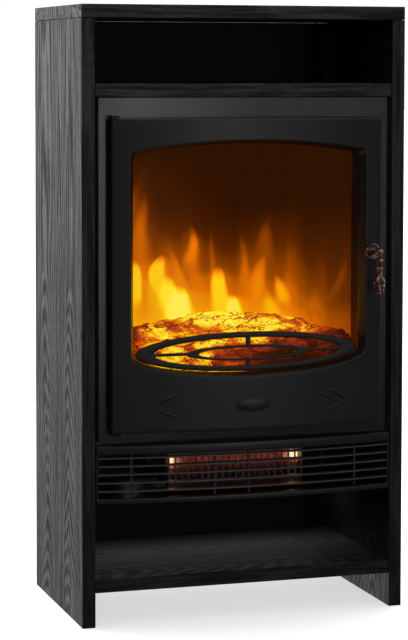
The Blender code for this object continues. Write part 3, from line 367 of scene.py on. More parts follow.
def ember_finish(name):
    """Moulded logs and coals, lit from inside, with dark bark and cracks."""
    graph = Graph(name, roughness=0.7, specular_ior_level=0.3)
    heat = graph.use("ShaderNodeAttribute", {"attribute_name": "glow_level"}, {}, "Fac")
    point = graph.place()
    lumps = graph.cloud(graph.place((0.7, 1.0, 1.3)), 24.0, 4.0, 0.55, 0.8)
    bark = graph.cloud(graph.place((0.6, 1.0, 2.6)), 120.0, 4.0, 0.7)
    warp = graph.cloud(point, 75.0, 3.0, 0.6)
    stretched = graph.place((0.34, 1.0, 1.5))
    bent = graph.use("ShaderNodeVectorMath", {"operation": "ADD"}, {0: stretched, 1: warp * 0.030})
    cracks = graph.cells(bent, 44.0).rise(0.004, 0.050)
    lines = (graph.cloud(stretched, 70.0, 3.0, 0.6, 1.5) - 0.5).size().rise(0.0, 0.022)
    shade = lumps.rise(0.33, 0.62) * 0.55 + 0.45
    dark = bark.rise(0.62, 0.72)
    warm = heat * shade * (0.36 + cracks * 0.64) * (0.62 + lines * 0.38) * (1.0 - dark * 0.55)
    stops = (
        (0.00, (0.004, 0.0008, 0.0)),
        (0.18, (0.030, 0.003, 0.0)),
        (0.34, (0.20, 0.013, 0.001)),
        (0.50, (0.62, 0.072, 0.0006)),
        (0.64, (0.90, 0.30, 0.001)),
        (0.78, (0.98, 0.62, 0.004)),
        (1.00, (1.06, 0.88, 0.045)),
    )
    graph.set("Base Color", dark.between((0.060, 0.024, 0.010), (0.012, 0.006, 0.004)))
    graph.set("Emission Color", graph.ramp(warm, stops))
    graph.set("Emission Strength", 1.0)
    graph.relief(lumps + bark * 0.3, 0.003)
    return graph.material


def element_painted_glow_finish(name):
    """Ceramic fins with painted glow, brightest at both ends and across the middle; the fins are no lamp, so
    this glow and its bright spots are painted light.
    """
    graph = Graph(name, roughness=0.7)
    x, _, z = graph.axes(graph.place())
    spots = graph.cloud(graph.place((1.0, 0.0, 2.0)), 150.0, 3.0)
    ends = x.size().rise(0.085, 0.108)
    level = 1.0 - (z - 0.252).size().rise(0.003, 0.020)
    # Painted light: this glow and its spots stand in for light on the fins.
    glow = level * (0.04 + ends * 0.62 + spots * 0.52)
    stops = (
        (0.00, (0.006, 0.001, 0.001)),
        (0.30, (0.10, 0.010, 0.006)),
        (0.60, (0.42, 0.13, 0.07)),
        (0.85, (1.20, 0.70, 0.35)),
        (1.00, (1.30, 1.10, 0.70)),
    )
    graph.set("Base Color", (0.10, 0.05, 0.04))
    graph.set("Emission Color", graph.ramp(glow, stops))
    graph.set("Emission Strength", 1.0)
    return graph.material


ASH_UPRIGHT = ash_finish("black ash, upright grain", "Z", 0.85)
ASH_LEVEL = ash_finish("black ash, level grain", "X", 1.0)
COATED = coated_finish("black coated steel", (0.0075, 0.0075, 0.0075), 0.20)
DOOR_COAT = coated_finish("black door enamel", (0.0080, 0.0078, 0.0076), 0.38)
GRILLE_COAT = coated_finish("black grille enamel", (0.009, 0.009, 0.009), 0.34)
# Painted highlight: the blades are made grey, standing in for light caught along their thin front edges.
BLADE_HIGHLIGHT_COAT = coated_finish("blade enamel greyed as painted highlight", (0.075, 0.075, 0.075), 0.30)
DARK_STEEL = steel_finish("blackened steel", (0.030, 0.030, 0.030))
CAST = cast_finish("black cast iron")
ZINC = zinc_finish("galvanised sheet")
STEEL = steel_finish("drawn steel")
DARK_MESH = steel_finish("browned steel mesh", (0.16, 0.10, 0.085))
PLASTIC = plastic_finish("moulded black plastic")
FIBREBOARD = fibreboard_finish("painted hardboard")
BOARD = board_finish("green circuit board")
FOIL = foil_finish("crumpled foil")
COPPER = copper_finish("antiqued copper")
GLASS = glass_finish("clear glass")
FLAMES = flame_finish("flame screen")
EMBERS = ember_finish("glowing fuel")
ELEMENT = element_painted_glow_finish("ceramic with painted glow")

FINISHES = {
    "black_ash": ASH_UPRIGHT,
    "hardboard": FIBREBOARD,
    "case_steel": ZINC,
    "black_metal": COATED,
    "grille_black": GRILLE_COAT,
    "fret_iron": CAST,
    "screen": FLAMES,
    "embers": EMBERS,
    "board_green": BOARD,
    "foil": FOIL,
    "steel": STEEL,
    "mesh": DARK_MESH,
    "element": ELEMENT,
    "black_plastic": PLASTIC,
    "glass": GLASS,
    "copper": COPPER,
}
LEVEL_BOARDS = ("top_panel", "upper_shelf", "bottom_shelf")


# Shapes


class Shape:
    """Collects the surfaces of one piece and makes the piece."""

    def __init__(self):
        self.points = []
        self.faces = []

    def skin(self, rings, closed=True, near_cap=False, far_cap=False):
        """Joins rings that have equally many points."""
        start, count = len(self.points), len(rings[0])
        for ring in rings:
            self.points += [Vector(point) for point in ring]
        steps = count if closed else count - 1
        for row in range(len(rings) - 1):
            for i in range(steps):
                a, b = start + row * count + i, start + row * count + (i + 1) % count
                self.faces.append((a, b, b + count, a + count))
        if near_cap:
            self.faces.append(tuple(range(start + count - 1, start - 1, -1)))
        if far_cap:
            last = start + (len(rings) - 1) * count
            self.faces.append(tuple(range(last, last + count)))

    def lathe(self, profile, steps, place, wobble=None):
        """Turns a profile of (radius, height) about the place's Z axis. Wobble changes each point."""
        rings = []
        for radius, height in profile:
            ring = []
            for i in range(steps):
                turn = 2 * math.pi * i / steps
                wide, high = (radius, height) if wobble is None else wobble(radius, height, turn)
                ring.append(place @ Vector((wide * math.cos(turn), wide * math.sin(turn), high)))
            rings.append(ring)
        self.skin(rings, True, True, True)

    def make(self, name, material, body, replaced=(), sharp=40, bevel=None):
        shape = bmesh.new()
        verts = [shape.verts.new(point) for point in self.points]
        for face in self.faces:
            shape.faces.new([verts[i] for i in face])
        bmesh.ops.remove_doubles(shape, verts=shape.verts, dist=1e-6)
        bmesh.ops.dissolve_degenerate(shape, edges=shape.edges, dist=1e-7)
        bmesh.ops.recalc_face_normals(shape, faces=shape.faces)
        for face in shape.faces:
            face.smooth = True
        for edge in shape.edges:
            if len(edge.link_faces) == 2 and edge.calc_face_angle(0.0) > math.radians(sharp):
                edge.smooth = False
        mesh = bpy.data.meshes.new(name)
        shape.to_mesh(mesh)
        shape.free()
        mesh.materials.append(material)
        piece = bpy.data.objects.new(name, mesh)
        bpy.context.scene.collection.objects.link(piece)
        if bevel:
            round_edges(piece, bevel)
        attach(piece, body)
        if replaced:
            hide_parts(*replaced)
        return piece


def round_edges(piece, width, segments=3):
    """Small rounds on the sharp edges."""
    edges = piece.modifiers.new("rounds", "BEVEL")
    edges.width = width
    edges.segments = segments
    edges.limit_method = "ANGLE"
    edges.angle_limit = math.radians(40)
    edges.harden_normals = True


def mix(a, b, t):
    return a + (b - a) * t


def smooth(t):
    t = min(1.0, max(0.0, t))
    return t * t * (3 - 2 * t)


def door_face(x):
    """How far back the door's bowed front is at x."""
    return DOOR_EDGE - DOOR_BOW * (1 - (x / DOOR_HALF) ** 2)


def grille_face(x):
    """How far back the grille's bowed front is at x."""
    return FRONT - GRILLE_BOW * (1 - (x / GRILLE_HALF) ** 2)


# Door


def window_loop(half, top, sag, corner, spread=0.0):
    """The window seen from the front, in four runs that start at the left waist: up, across, down, under."""
    half, top, sag, corner = half + spread, top + spread, sag + spread, corner + spread

    def arch(x):
        return top - 0.017 * (x / half) ** 2

    inner = half - corner
    shoulder = arch(inner) - corner
    left = []
    for i in range(24):
        t = i / 24
        left.append((-half, mix(WINDOW_WAIST, shoulder, t)))
    left += [
        (-inner - corner * math.cos(a), shoulder + corner * math.sin(a))
        for a in (math.radians(45 * i / 8) for i in range(8))
    ]
    across = [
        (-inner - corner * math.cos(a), shoulder + corner * math.sin(a))
        for a in (math.radians(45 + 45 * i / 8) for i in range(8))
    ]
    across += [(x, arch(x)) for x in (mix(-inner, inner, i / 32) for i in range(33))]
    across += [(-x, z) for x, z in reversed(across[1:8])]
    right = [(inner + corner * math.cos(a), shoulder + corner * math.sin(a))
             for a in (math.radians(45 - 45 * i / 8) for i in range(8))]
    right += [(half, mix(shoulder, WINDOW_WAIST, i / 24)) for i in range(24)]
    under = []
    for i in range(56):
        a = math.pi * i / 56
        under.append((half * math.cos(a), WINDOW_WAIST - sag * math.sin(a)))
    return left + across + right + under, (len(left), len(across), len(right), len(under))


def outer_loop(counts, inset=0.0):
    """The door's outline with the same runs as the window's."""
    half, low, high = DOOR_HALF - inset, DOOR_LOW + inset, DOOR_HIGH - inset
    corners = [(-half, low), (-half, high), (half, high), (half, low)]
    points = []
    for run, count in enumerate(counts):
        start, end = corners[run], corners[(run + 1) % 4]
        for i in range(count):
            t = i / count
            points.append((mix(start[0], end[0], t), mix(start[1], end[1], t)))
    return points


def make_door():
    """Pressed steel front: rolled edges, bowed face and a sloping rim round the window."""
    shape = Shape()
    window, counts = window_loop(*WINDOW)
    rolled, _ = window_loop(*WINDOW, 0.0022)
    back, _ = window_loop(*WINDOW_BEHIND)
    edge = DOOR_ROUND
    rings = [[(x, DOOR_BACK, z) for x, z in outer_loop(counts)]]
    for i in range(6):
        turn = math.radians(90 * i / 5)
        inset = edge * (1 - math.cos(turn))
        outer = outer_loop(counts, inset)
        rings.append([(x, door_face(x) + edge * (1 - math.sin(turn)), z) for x, z in outer])
    outer = outer_loop(counts, edge)
    for i in range(1, 25):
        t = i / 24
        flat = [(mix(a[0], b[0], t), mix(a[1], b[1], t)) for a, b in zip(outer, rolled)]
        rings.append([(x, door_face(x), z) for x, z in flat])
    for i in range(1, 5):
        t = i / 4
        flat = [(mix(a[0], b[0], t), mix(a[1], b[1], t)) for a, b in zip(rolled, window)]
        rings.append([(x, door_face(x) + ROLL_DROP * t * t, z) for x, z in flat])
    for i in range(1, 9):
        t = i / 8
        ring = []
        for (x, z), (u, w) in zip(window, back):
            ring.append((mix(x, u, t), mix(door_face(x) + ROLL_DROP, RIM_BACK, t), mix(z, w, t)))
        rings.append(ring)
    shape.skin(rings)
    panel = shape.make("door_front", DOOR_COAT, "door", ["door_panel"], 50)
    sheet = panel.modifiers.new("sheet", "SOLIDIFY")
    sheet.thickness = DOOR_SHEET
    sheet.offset = 1.0 if panel.data.polygons[len(panel.data.polygons) // 2].normal.y > 0 else -1.0
    sheet.use_even_offset = False
    return panel


def leaf_stroke(shape, start, bend, end, thickest, side):
    """A raised stroke that swells quickly and thins out to a point."""
    steps, around = 40, 16
    rings = []
    for i in range(steps + 1):
        t = i / steps
        x, z = (
            (1 - t) ** 2 * a + 2 * t * (1 - t) * b + t * t * c for a, b, c in zip(start, bend, end)
        )
        dx, dz = (2 * (1 - t) * (b - a) + 2 * t * (c - b) for a, b, c in zip(start, bend, end))
        along = Vector((dx, 0, dz)).normalized()
        across = Vector((-along.z, 0, along.x))
        half = thickest * max(0.02, math.sin(math.pi * t**0.62) ** 0.8)
        ring = []
        for j in range(around):
            turn = 2 * math.pi * j / around
            point = Vector((x, 0, z)) + across * half * math.cos(turn)
            lift = 0.62 * half * math.sin(turn)
            ring.append((side * point.x, door_face(point.x) + 0.0002 - lift, point.z))
        rings.append(ring)
    shape.skin(rings, True, True, True)


def make_reliefs():
    """The raised oval and the two leaves below the window."""
    shape = Shape()
    rings = []
    for i in range(13):
        turn = math.pi / 2 * i / 12
        spread, lift = math.sin(turn), 0.0040 * math.cos(turn) ** 0.8
        ring = []
        for j in range(48):
            a = 2 * math.pi * j / 48
            x, z = 0.0300 * spread * math.cos(a), 0.357 + 0.0120 * spread * math.sin(a)
            ring.append((x, door_face(x) + 0.0003 - lift, z))
        rings.append(ring)
    shape.skin(rings[1:], True, True, True)
    for side in (-1, 1):
        leaf_stroke(shape, (0.160, 0.3590), (0.147, 0.3745), (0.116, 0.3780), 0.0034, side)
        leaf_stroke(shape, (0.160, 0.3560), (0.140, 0.3420), (0.108, 0.3400), 0.0028, side)
        leaf_stroke(shape, (0.136, 0.3590), (0.124, 0.3700), (0.103, 0.3735), 0.0024, side)
    return shape.make("door_reliefs", DOOR_COAT, "door", (), 60)


def fret_face(x):
    """How far back the fret's front is at x."""
    return RIM_BACK - 0.0038 - 0.0025 * (1 - (x / 0.189) ** 2)


def oval(half, height, middle, turn):
    return half * math.cos(turn), middle + height * math.sin(turn)


def make_fret():
    """Cast oval fret: a broad rounded outer ring, an inner ring, and bars that tie them."""
    shape = Shape()
    section = ((0.0, 3.4), (0.0, 1.3), (0.08, 0.5), (0.22, 0.05), (0.5, -0.1), (0.78, 0.05), (0.92, 0.5))
    section += ((1.0, 1.3), (1.0, 3.4))
    for inner, outer in (
        ((0.1585, 0.0231, 0.4396), (0.1890, 0.0320, 0.4399)),
        ((0.0835, 0.0086, 0.4376), (0.1045, 0.0128, 0.4379)),
    ):
        rings = []
        for i in range(128):
            turn = 2 * math.pi * i / 128
            (ax, az), (bx, bz) = oval(*inner, turn), oval(*outer, turn)
            ring = []
            for t, depth in section:
                x, z = mix(ax, bx, t), mix(az, bz, t)
                ring.append((x, fret_face(x) + depth * 0.001, z))
            rings.append(ring)
        rings.append(rings[0])
        shape.skin(rings)
    bars = [((-0.162, 0.4385), (-0.102, 0.4385), 0.0025), ((0.102, 0.4385), (0.162, 0.4385), 0.0025)]
    bars += [((0.0, 0.4495), (0.0, 0.4640), 0.0040), ((0.0, 0.4155), (0.0, 0.4262), 0.0040)]
    for (ax, az), (bx, bz), half in bars:
        along = Vector((bx - ax, 0, bz - az)).normalized()
        across = Vector((-along.z, 0, along.x))
        rings = []
        for i in range(9):
            t = i / 8
            x, z = mix(ax, bx, t), mix(az, bz, t)
            ring = []
            for u, depth in ((-1, 3.2), (-1, 1.4), (-0.6, 0.6), (0, 0.4), (0.6, 0.6), (1, 1.4), (1, 3.2)):
                point = Vector((x, fret_face(x) + depth * 0.001, z)) + across * (half * u)
                ring.append(point)
            rings.append(ring)
        shape.skin(rings, True, True, True)
    return shape.make("cast_fret", CAST, "door", ["door_fret"], 50)


# Handle


def handle_place():
    """Local frame of the handle: Z stands out from the bowed face."""
    seat = Vector((HANDLE_X, door_face(HANDLE_X), HANDLE_Z))
    turn = Matrix.Rotation(HANDLE_TURN, 4, "Z")
    return Matrix.Translation(seat) @ turn @ Matrix.Rotation(math.radians(90), 4, "X")


def make_handle():
    """Dished rosette with a beaded rim, ringed post with a ball, and a drop pull of folded petals."""
    place = handle_place()
    rosette = Shape()
    profile = [(0.0002, 0.0052), (0.0046, 0.0052), (0.0056, 0.0044), (0.0062, 0.0030), (0.0072, 0.0024)]
    profile += [(0.0086, 0.0026), (0.0096, 0.0034), (0.0102, 0.0044), (0.0108, 0.0051), (0.0116, 0.0054)]
    profile += [(0.0124, 0.0051), (0.0130, 0.0043), (0.0134, 0.0030), (0.0134, 0.0006), (0.0002, 0.0004)]

    def beads(radius, height, turn):
        wave = 0.00028 * math.cos(28 * turn) if radius > 0.0098 and height > 0.002 else 0.0
        return radius + wave * 0.5, height + wave

    rosette.lathe(profile, 168, place, beads)
    rosette.make("rosette", COPPER, "door", ["handle_rosette"], 60)

    post = Shape()
    profile = [(0.0052, 0.0040), (0.0052, 0.0062), (0.0044, 0.0072), (0.0034, 0.0080), (0.0030, 0.0092)]
    profile += [(0.0030, 0.0108), (0.0037, 0.0115), (0.0037, 0.0125), (0.0030, 0.0132), (0.0030, 0.0178)]
    for i in range(2, 13):
        turn = math.radians(180 - 15 * i)
        profile.append((BALL_RADIUS * math.sin(turn) + 0.00005, BALL_STAND + BALL_RADIUS * math.cos(turn)))
    post.lathe(profile, 40, place)
    post.make("ball_post", COPPER, "door", ["handle_post", "pull_pin"], 60)

    ball = place @ Vector((0, 0, BALL_STAND))
    hang = Matrix.Translation(ball) @ Matrix.Rotation(HANDLE_TURN, 4, "Z")
    pull = Shape()
    ring_points = []
    for i in range(33):
        turn = 2 * math.pi * i / 32
        centre = Vector((0, 0.0082 * math.cos(turn), -0.0030 + 0.0088 * math.sin(turn)))
        out = Vector((0, math.cos(turn), math.sin(turn)))
        ring = []
        for j in range(12):
            a = 2 * math.pi * j / 12
            spot = centre + out * 0.0011 * math.cos(a) + Vector((0.0011 * math.sin(a), 0, 0))
            ring.append(hang @ spot)
        ring_points.append(ring)
    pull.skin(ring_points)
    profile = [(0.0003, -0.0104), (0.0030, -0.0106), (0.0052, -0.0116), (0.0061, -0.0130), (0.0060, -0.0146)]
    profile += [(0.0052, -0.0156), (0.0048, -0.0166), (0.0052, -0.0174), (0.0047, -0.0186)]
    profile += [(0.0046, -0.0250), (0.0043, -0.0320), (0.0041, -0.0360), (0.0046, -0.0400), (0.0060, -0.0450)]
    profile += [(0.0062, -0.0520), (0.0052, -0.0660), (0.0003, -0.0680)]

    def flutes(radius, height, turn):
        if not -0.0370 < height < -0.0180:
            return radius, height
        return radius + 0.00022 * math.cos(7 * turn + 90 * height), height

    pull.lathe(profile, 84, hang, flutes)
    tiers = (
        (-0.0375, -0.0520, 0.0046, 0.0101, 7, 0.0),
        (-0.0470, -0.0600, 0.0066, 0.0094, 7, 0.45),
        (-0.0540, -0.0658, 0.0062, 0.0080, 6, 0.1),
        (-0.0600, -0.0690, 0.0040, 0.0062, 5, 0.5),
    )
    for top, bottom, near, far, petals, start in tiers:
        rings = []
        for i in range(13):
            t = i / 12
            ring = []
            for j in range(112):
                turn = 2 * math.pi * j / 112
                petal = abs(math.cos(petals * (turn + start) / 2)) ** 0.7
                radius = mix(near, far, math.sin(math.pi / 2 * t)) * (0.90 + 0.10 * petal)
                radius -= 0.0011 * smooth((t - 0.82) / 0.18)
                height = mix(top, bottom, t) + (1 - petal) * 0.0034 * t
                spot = Vector((radius * math.cos(turn), radius * math.sin(turn), height))
                ring.append(hang @ spot)
            rings.append(ring)
        for j in range(1, 5):
            shrunk = []
            for point in rings[12]:
                axis = hang @ Vector((0, 0, (hang.inverted() @ point).z))
                shrunk.append(axis + (point - axis) * (1 - 0.24 * j))
            rings.append(shrunk)
        pull.skin(rings, True, True, True)
    pull.make("drop_pull", COPPER, "pull", ["handle_pull"], 55)


# Grille


def bowed_strip(shape, half, low, high, depth, edge):
    """A strip along the grille's bow with rounded front edges."""
    rings = []
    for i in range(65):
        x = mix(-half, half, i / 64)
        front = grille_face(x)
        ring = [(x, front + depth, low), (x, front + depth, high)]
        for j in range(5):
            turn = math.radians(90 * j / 4)
            ring.append((x, front + edge * (1 - math.sin(turn)), high - edge * (1 - math.cos(turn))))
        for j in range(5):
            turn = math.radians(90 * j / 4)
            ring.append((x, front + edge * (1 - math.cos(turn)), low + edge * (1 - math.sin(turn))))
        rings.append(ring)
    shape.skin(rings, True, True, True)


def block(shape, low, high):
    """A plain block inside a piece."""
    (x0, y0, z0), (x1, y1, z1) = low, high
    near = [(x0, y0, z0), (x1, y0, z0), (x1, y1, z0), (x0, y1, z0)]
    far = [(x0, y0, z1), (x1, y0, z1), (x1, y1, z1), (x0, y1, z1)]
    shape.skin([near, far], True, True, True)


def make_grille():
    """Bowed rails, cheeks and ribs, and five thin blades."""
    shape = Shape()
    bowed_strip(shape, GRILLE_HALF, 0.2790, 0.2945, RAIL_DEEP, 0.0026)
    bowed_strip(shape, GRILLE_HALF, 0.2000, 0.2085, RAIL_DEEP, 0.0020)
    for side in (-1, 1):
        near, far = sorted((side * (GRILLE_HALF - 0.002), side * GRILLE_HALF))
        block(shape, (near, FRONT + 0.0005, 0.201), (far, FRONT + 0.0305, 0.2935))
    for x in (-0.192, -0.055, 0.003, 0.192):
        back = grille_face(x) + 0.0193
        block(shape, (x - 0.002, back - 0.0048, 0.2055), (x + 0.002, back, 0.2820))
    # A straight upstand behind the top rail closes the gap below the insert's front frame.
    block(shape, (-0.2480, FRONT + 0.0165, 0.2860), (0.2480, FRONT + 0.0190, 0.2997))
    shape.make("bowed_grille", GRILLE_COAT, "root", ["grille_frame"], 45)
    for number in range(1, 6):
        blade = Shape()
        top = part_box(f"grille_blade_{number}")[1].z
        bowed_strip(blade, BLADE_HALF, top - BLADE_THICK, top, BLADE_DEEP, 0.0008)
        replaced = [f"grille_blade_{number}"]
        blade.make(f"bowed_blade_{number}", BLADE_HIGHLIGHT_COAT, "root", replaced, 45)


# Fire


TONGUES = (
    # (base x, base z, tip x, tip z, width, bend, heat)
    (-0.158, 0.560, -0.136, 0.745, 0.034, -0.022, 0.46),
    (-0.146, 0.590, -0.144, 0.705, 0.026, -0.004, 0.54),
    (-0.160, 0.525, -0.158, 0.580, 0.022, 0.002, 0.84),
    (-0.122, 0.495, -0.154, 0.566, 0.016, 0.004, 0.70),
    (-0.104, 0.520, -0.116, 0.588, 0.032, -0.012, 0.84),
    (-0.080, 0.480, -0.104, 0.552, 0.040, -0.006, 0.92),
    (-0.082, 0.475, -0.084, 0.536, 0.050, 0.000, 0.96),
    (-0.074, 0.500, -0.106, 0.610, 0.026, 0.006, 0.64),
    (-0.060, 0.585, -0.066, 0.642, 0.024, 0.006, 0.62),
    (-0.056, 0.500, -0.060, 0.600, 0.028, 0.004, 0.58),
    (-0.027, 0.500, -0.027, 0.640, 0.014, 0.004, 0.52),
    (0.000, 0.475, -0.014, 0.566, 0.038, -0.006, 0.86),
    (0.012, 0.478, 0.010, 0.520, 0.030, 0.000, 0.94),
    (0.028, 0.500, 0.022, 0.630, 0.018, 0.004, 0.56),
    (0.058, 0.500, 0.074, 0.604, 0.034, -0.014, 0.64),
    (0.064, 0.580, 0.078, 0.660, 0.030, -0.006, 0.42),
    (0.100, 0.515, 0.086, 0.554, 0.022, 0.002, 0.74),
    (0.082, 0.478, 0.072, 0.528, 0.032, 0.000, 0.78),
    (0.140, 0.475, 0.156, 0.530, 0.040, 0.004, 0.52),
    (0.162, 0.490, 0.212, 0.590, 0.018, 0.014, 0.40),
    (-0.110, 0.470, -0.108, 0.560, 0.110, 0.000, 0.60),
    (0.120, 0.465, 0.118, 0.510, 0.140, 0.000, 0.50),
)


def flame_heat(x, z):
    """How hot the picture of the flames is at one place on the screen."""
    near = noise.noise(Vector((x * 26.0, z * 9.0, 1.7)))
    far = noise.noise(Vector((x * 60.0, z * 24.0, 5.1)))
    wander = (0.006 * near + 0.0025 * far) * smooth((z - 0.47) / 0.06)
    lift = smooth((0.69 - z) / 0.20)
    left = smooth((0.04 - x) / 0.24)
    right = smooth((x - 0.10) / 0.10)
    heat = 0.13 + 0.43 * lift * (1.0 - 0.55 * right) + 0.08 * left * smooth((0.78 - z) / 0.10)
    heat += 0.12 * smooth((0.515 - z) / 0.05)
    streak = noise.noise(Vector((x * 44.0, z * 4.0, 8.3)))
    streak += 0.5 * noise.noise(Vector((x * 95.0, z * 8.0, 3.3)))
    heat += (0.05 * near + 0.07 * streak) * smooth((0.72 - z) / 0.14)
    for base_x, base_z, tip_x, tip_z, width, bend, peak in TONGUES:
        t = (z - base_z) / (tip_z - base_z)
        if t > 1.12 or t < -0.6:
            continue
        held = min(1.0, max(0.0, t))
        centre = mix(base_x, tip_x, held) + bend * math.sin(math.pi * held) + wander
        bright = peak > 0.80
        half = 0.5 * width * ((1 - held) ** (0.42 if bright else 0.75) + 0.12)
        away = abs(x - centre) / half
        fade = smooth((1.12 - t) / (0.36 if bright else 0.75)) * smooth((t + 0.60) / 0.6)
        core = smooth((1.40 - away) / 0.80 if bright else 1.12 - 0.62 * away) * fade
        halo = 0.42 * smooth(1.10 - 0.24 * away) * fade
        heat = max(heat, mix(heat, peak, core), mix(heat, peak * 0.80, halo))
    return heat


def give_heat(piece, heats):
    """Stores how hot each point of the piece is."""
    spots = piece.data.attributes.new("glow_level", "FLOAT", "POINT")
    spots.data.foreach_set("value", heats)


def make_flames():
    """The screen behind the fuel bed, with the flames' heat at each point."""
    low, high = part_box("flame_screen")
    columns, rows = 260, 236
    shape = Shape()
    rings = []
    for row in range(rows + 1):
        z = mix(low.z, high.z, row / rows)
        rings.append([(mix(low.x, high.x, i / columns), low.y, z) for i in range(columns + 1)])
    shape.skin(rings, False)
    screen = shape.make("flame_picture", FLAMES, "root", ["flame_screen"])
    give_heat(screen, [flame_heat(v.co.x, v.co.z) for v in screen.data.vertices])
    sheet = screen.modifiers.new("sheet", "SOLIDIFY")
    sheet.thickness = SCREEN_THICK
    sheet.offset = -1.0 if screen.data.polygons[0].normal.y < 0 else 1.0


def bed_heat(x, z):
    """The fuel glows yellow in the middle and dull red at both ends."""
    left = smooth((x + 0.195) / 0.06)
    reach = mix(0.060, 0.175, smooth((z - 0.438) / 0.030))
    right = smooth((reach - x) / 0.10)
    return 0.32 + 0.62 * left * right + 0.06 * noise.noise(Vector((x * 30, z * 30, 9.0)))


def bumpy(point, scale, amount):
    """How much a rough surface moves at a point."""
    return amount * noise.fractal(point * scale, 1.0, 2.0, 4)


def add_log(shape, start, end, radius, seed):
    """A split log with knots, a torn end and rough bark."""
    start, end = Vector(start), Vector(end)
    along = (end - start).normalized()
    side = along.cross(Vector((0, 0, 1))).normalized()
    up = side.cross(along)
    steps, around = 56, 36
    rings = []
    for i in range(steps + 1):
        t = i / steps
        centre = start.lerp(end, t)
        taper = 0.80 + 0.20 * math.sin(math.pi * min(1, 0.15 + t))
        close = min(1.0, 0.35 + 8.0 * min(t, 1 - t))
        ring = []
        for j in range(around):
            turn = 2 * math.pi * j / around
            out = side * math.cos(turn) + up * math.sin(turn)
            flat = 1.0 - 0.22 * max(0.0, math.cos(turn - 0.9)) ** 2
            spot = Vector((centre.x, centre.y, centre.z + 7.3 * seed)) + out * radius
            rough = bumpy(spot, 70.0, 0.22) + bumpy(spot, 210.0, 0.08)
            ring.append(centre + out * radius * taper * close * flat * (1.0 + rough))
        rings.append(ring)
    shape.skin(rings, True, True, True)


def make_fuel():
    """Moulded fuel bed: a lumpy mound, logs that lie on it, and loose coals."""
    low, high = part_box("fuel_bed")
    mound = Shape()
    columns, rows = 190, 46
    rings = []
    for row in range(rows + 1):
        t = row / rows
        y = mix(low.y + 0.002, high.y, t)
        ring = []
        for i in range(columns + 1):
            x = mix(low.x, high.x, i / columns)
            crown = 0.452 + 0.016 * smooth((x + 0.20) / 0.10) - 0.012 * smooth((x - 0.06) / 0.14)
            height = mix(0.424, crown, smooth(t / 0.75)) + bumpy(Vector((x, y, 0.4)), 42.0, 0.0075)
            ring.append((x, y, height + bumpy(Vector((x, y, 2.2)), 130.0, 0.0022)))
        rings.append(ring)
    front = [(x, y, BED_UNDERSIDE) for x, y, z in rings[0]]
    back = [(x, y, BED_UNDERSIDE) for x, y, z in rings[-1]]
    mound.skin([front, *rings, back], False)
    bed = mound.make("fuel_mound", EMBERS, "root", ["fuel_bed"])
    logs = Shape()
    add_log(logs, (-0.180, FRONT + 0.060, 0.462), (-0.066, FRONT + 0.066, 0.479), 0.0165, 1)
    add_log(logs, (-0.090, FRONT + 0.060, 0.480), (0.046, FRONT + 0.056, 0.482), 0.0185, 2)
    add_log(logs, (0.020, FRONT + 0.066, 0.479), (0.128, FRONT + 0.056, 0.470), 0.0165, 3)
    add_log(logs, (0.096, FRONT + 0.060, 0.466), (0.186, FRONT + 0.050, 0.452), 0.0135, 4)
    add_log(logs, (-0.140, FRONT + 0.036, 0.446), (-0.024, FRONT + 0.028, 0.447), 0.0120, 5)
    add_log(logs, (0.010, FRONT + 0.030, 0.446), (0.120, FRONT + 0.038, 0.442), 0.0115, 6)
    stack = logs.make("glowing_logs", EMBERS, "root", (), 60)
    coals = Shape()
    for number in range(78):
        x = mix(-0.196, 0.196, rng.random())
        y = FRONT + mix(0.016, 0.050, rng.random())
        size = mix(0.0045, 0.0095, rng.random())
        z = 0.427 + 0.36 * (y - FRONT - 0.012) + 0.3 * size
        stretch = Vector((mix(0.8, 1.5, rng.random()), 1.0, mix(0.6, 0.9, rng.random())))
        rings = []
        for i in range(1, 9):
            polar = math.pi * i / 9
            ring = []
            for j in range(14):
                turn = 2 * math.pi * j / 14
                round_x, round_y = math.cos(turn), math.sin(turn)
                out = Vector((math.sin(polar) * round_x, math.sin(polar) * round_y, math.cos(polar)))
                rough = 1.0 + 0.35 * noise.noise(out * 1.7 + Vector((number, 0, 0)))
                ring.append(Vector((x, y, z)) + out * stretch * size * rough)
            rings.append(ring)
        coals.skin(rings, True, True, True)
    loose = coals.make("loose_coals", EMBERS, "root", (), 60)
    for piece, lift in ((bed, -0.10), (stack, 0.06), (loose, -0.04)):
        give_heat(piece, [bed_heat(v.co.x, v.co.z) + lift for v in piece.data.vertices])


# Finishes and small rounds on the pieces kept from the frame


def dress_frame():
    for name, piece in NODES.items():
        if piece.hide_render:
            continue
        kind = piece.data.materials[0].name.split(".")[0]
        finish = ASH_LEVEL if name in LEVEL_BOARDS else FINISHES[kind]
        if "hinge" in name:
            finish = DARK_STEEL
        piece.data.materials.clear()
        piece.data.materials.append(finish)
        if kind == "black_ash":
            round_edges(piece, 0.0009)
        elif kind in ("hardboard", "black_metal", "case_steel", "black_plastic"):
            round_edges(piece, 0.0003, 2)


# Studio


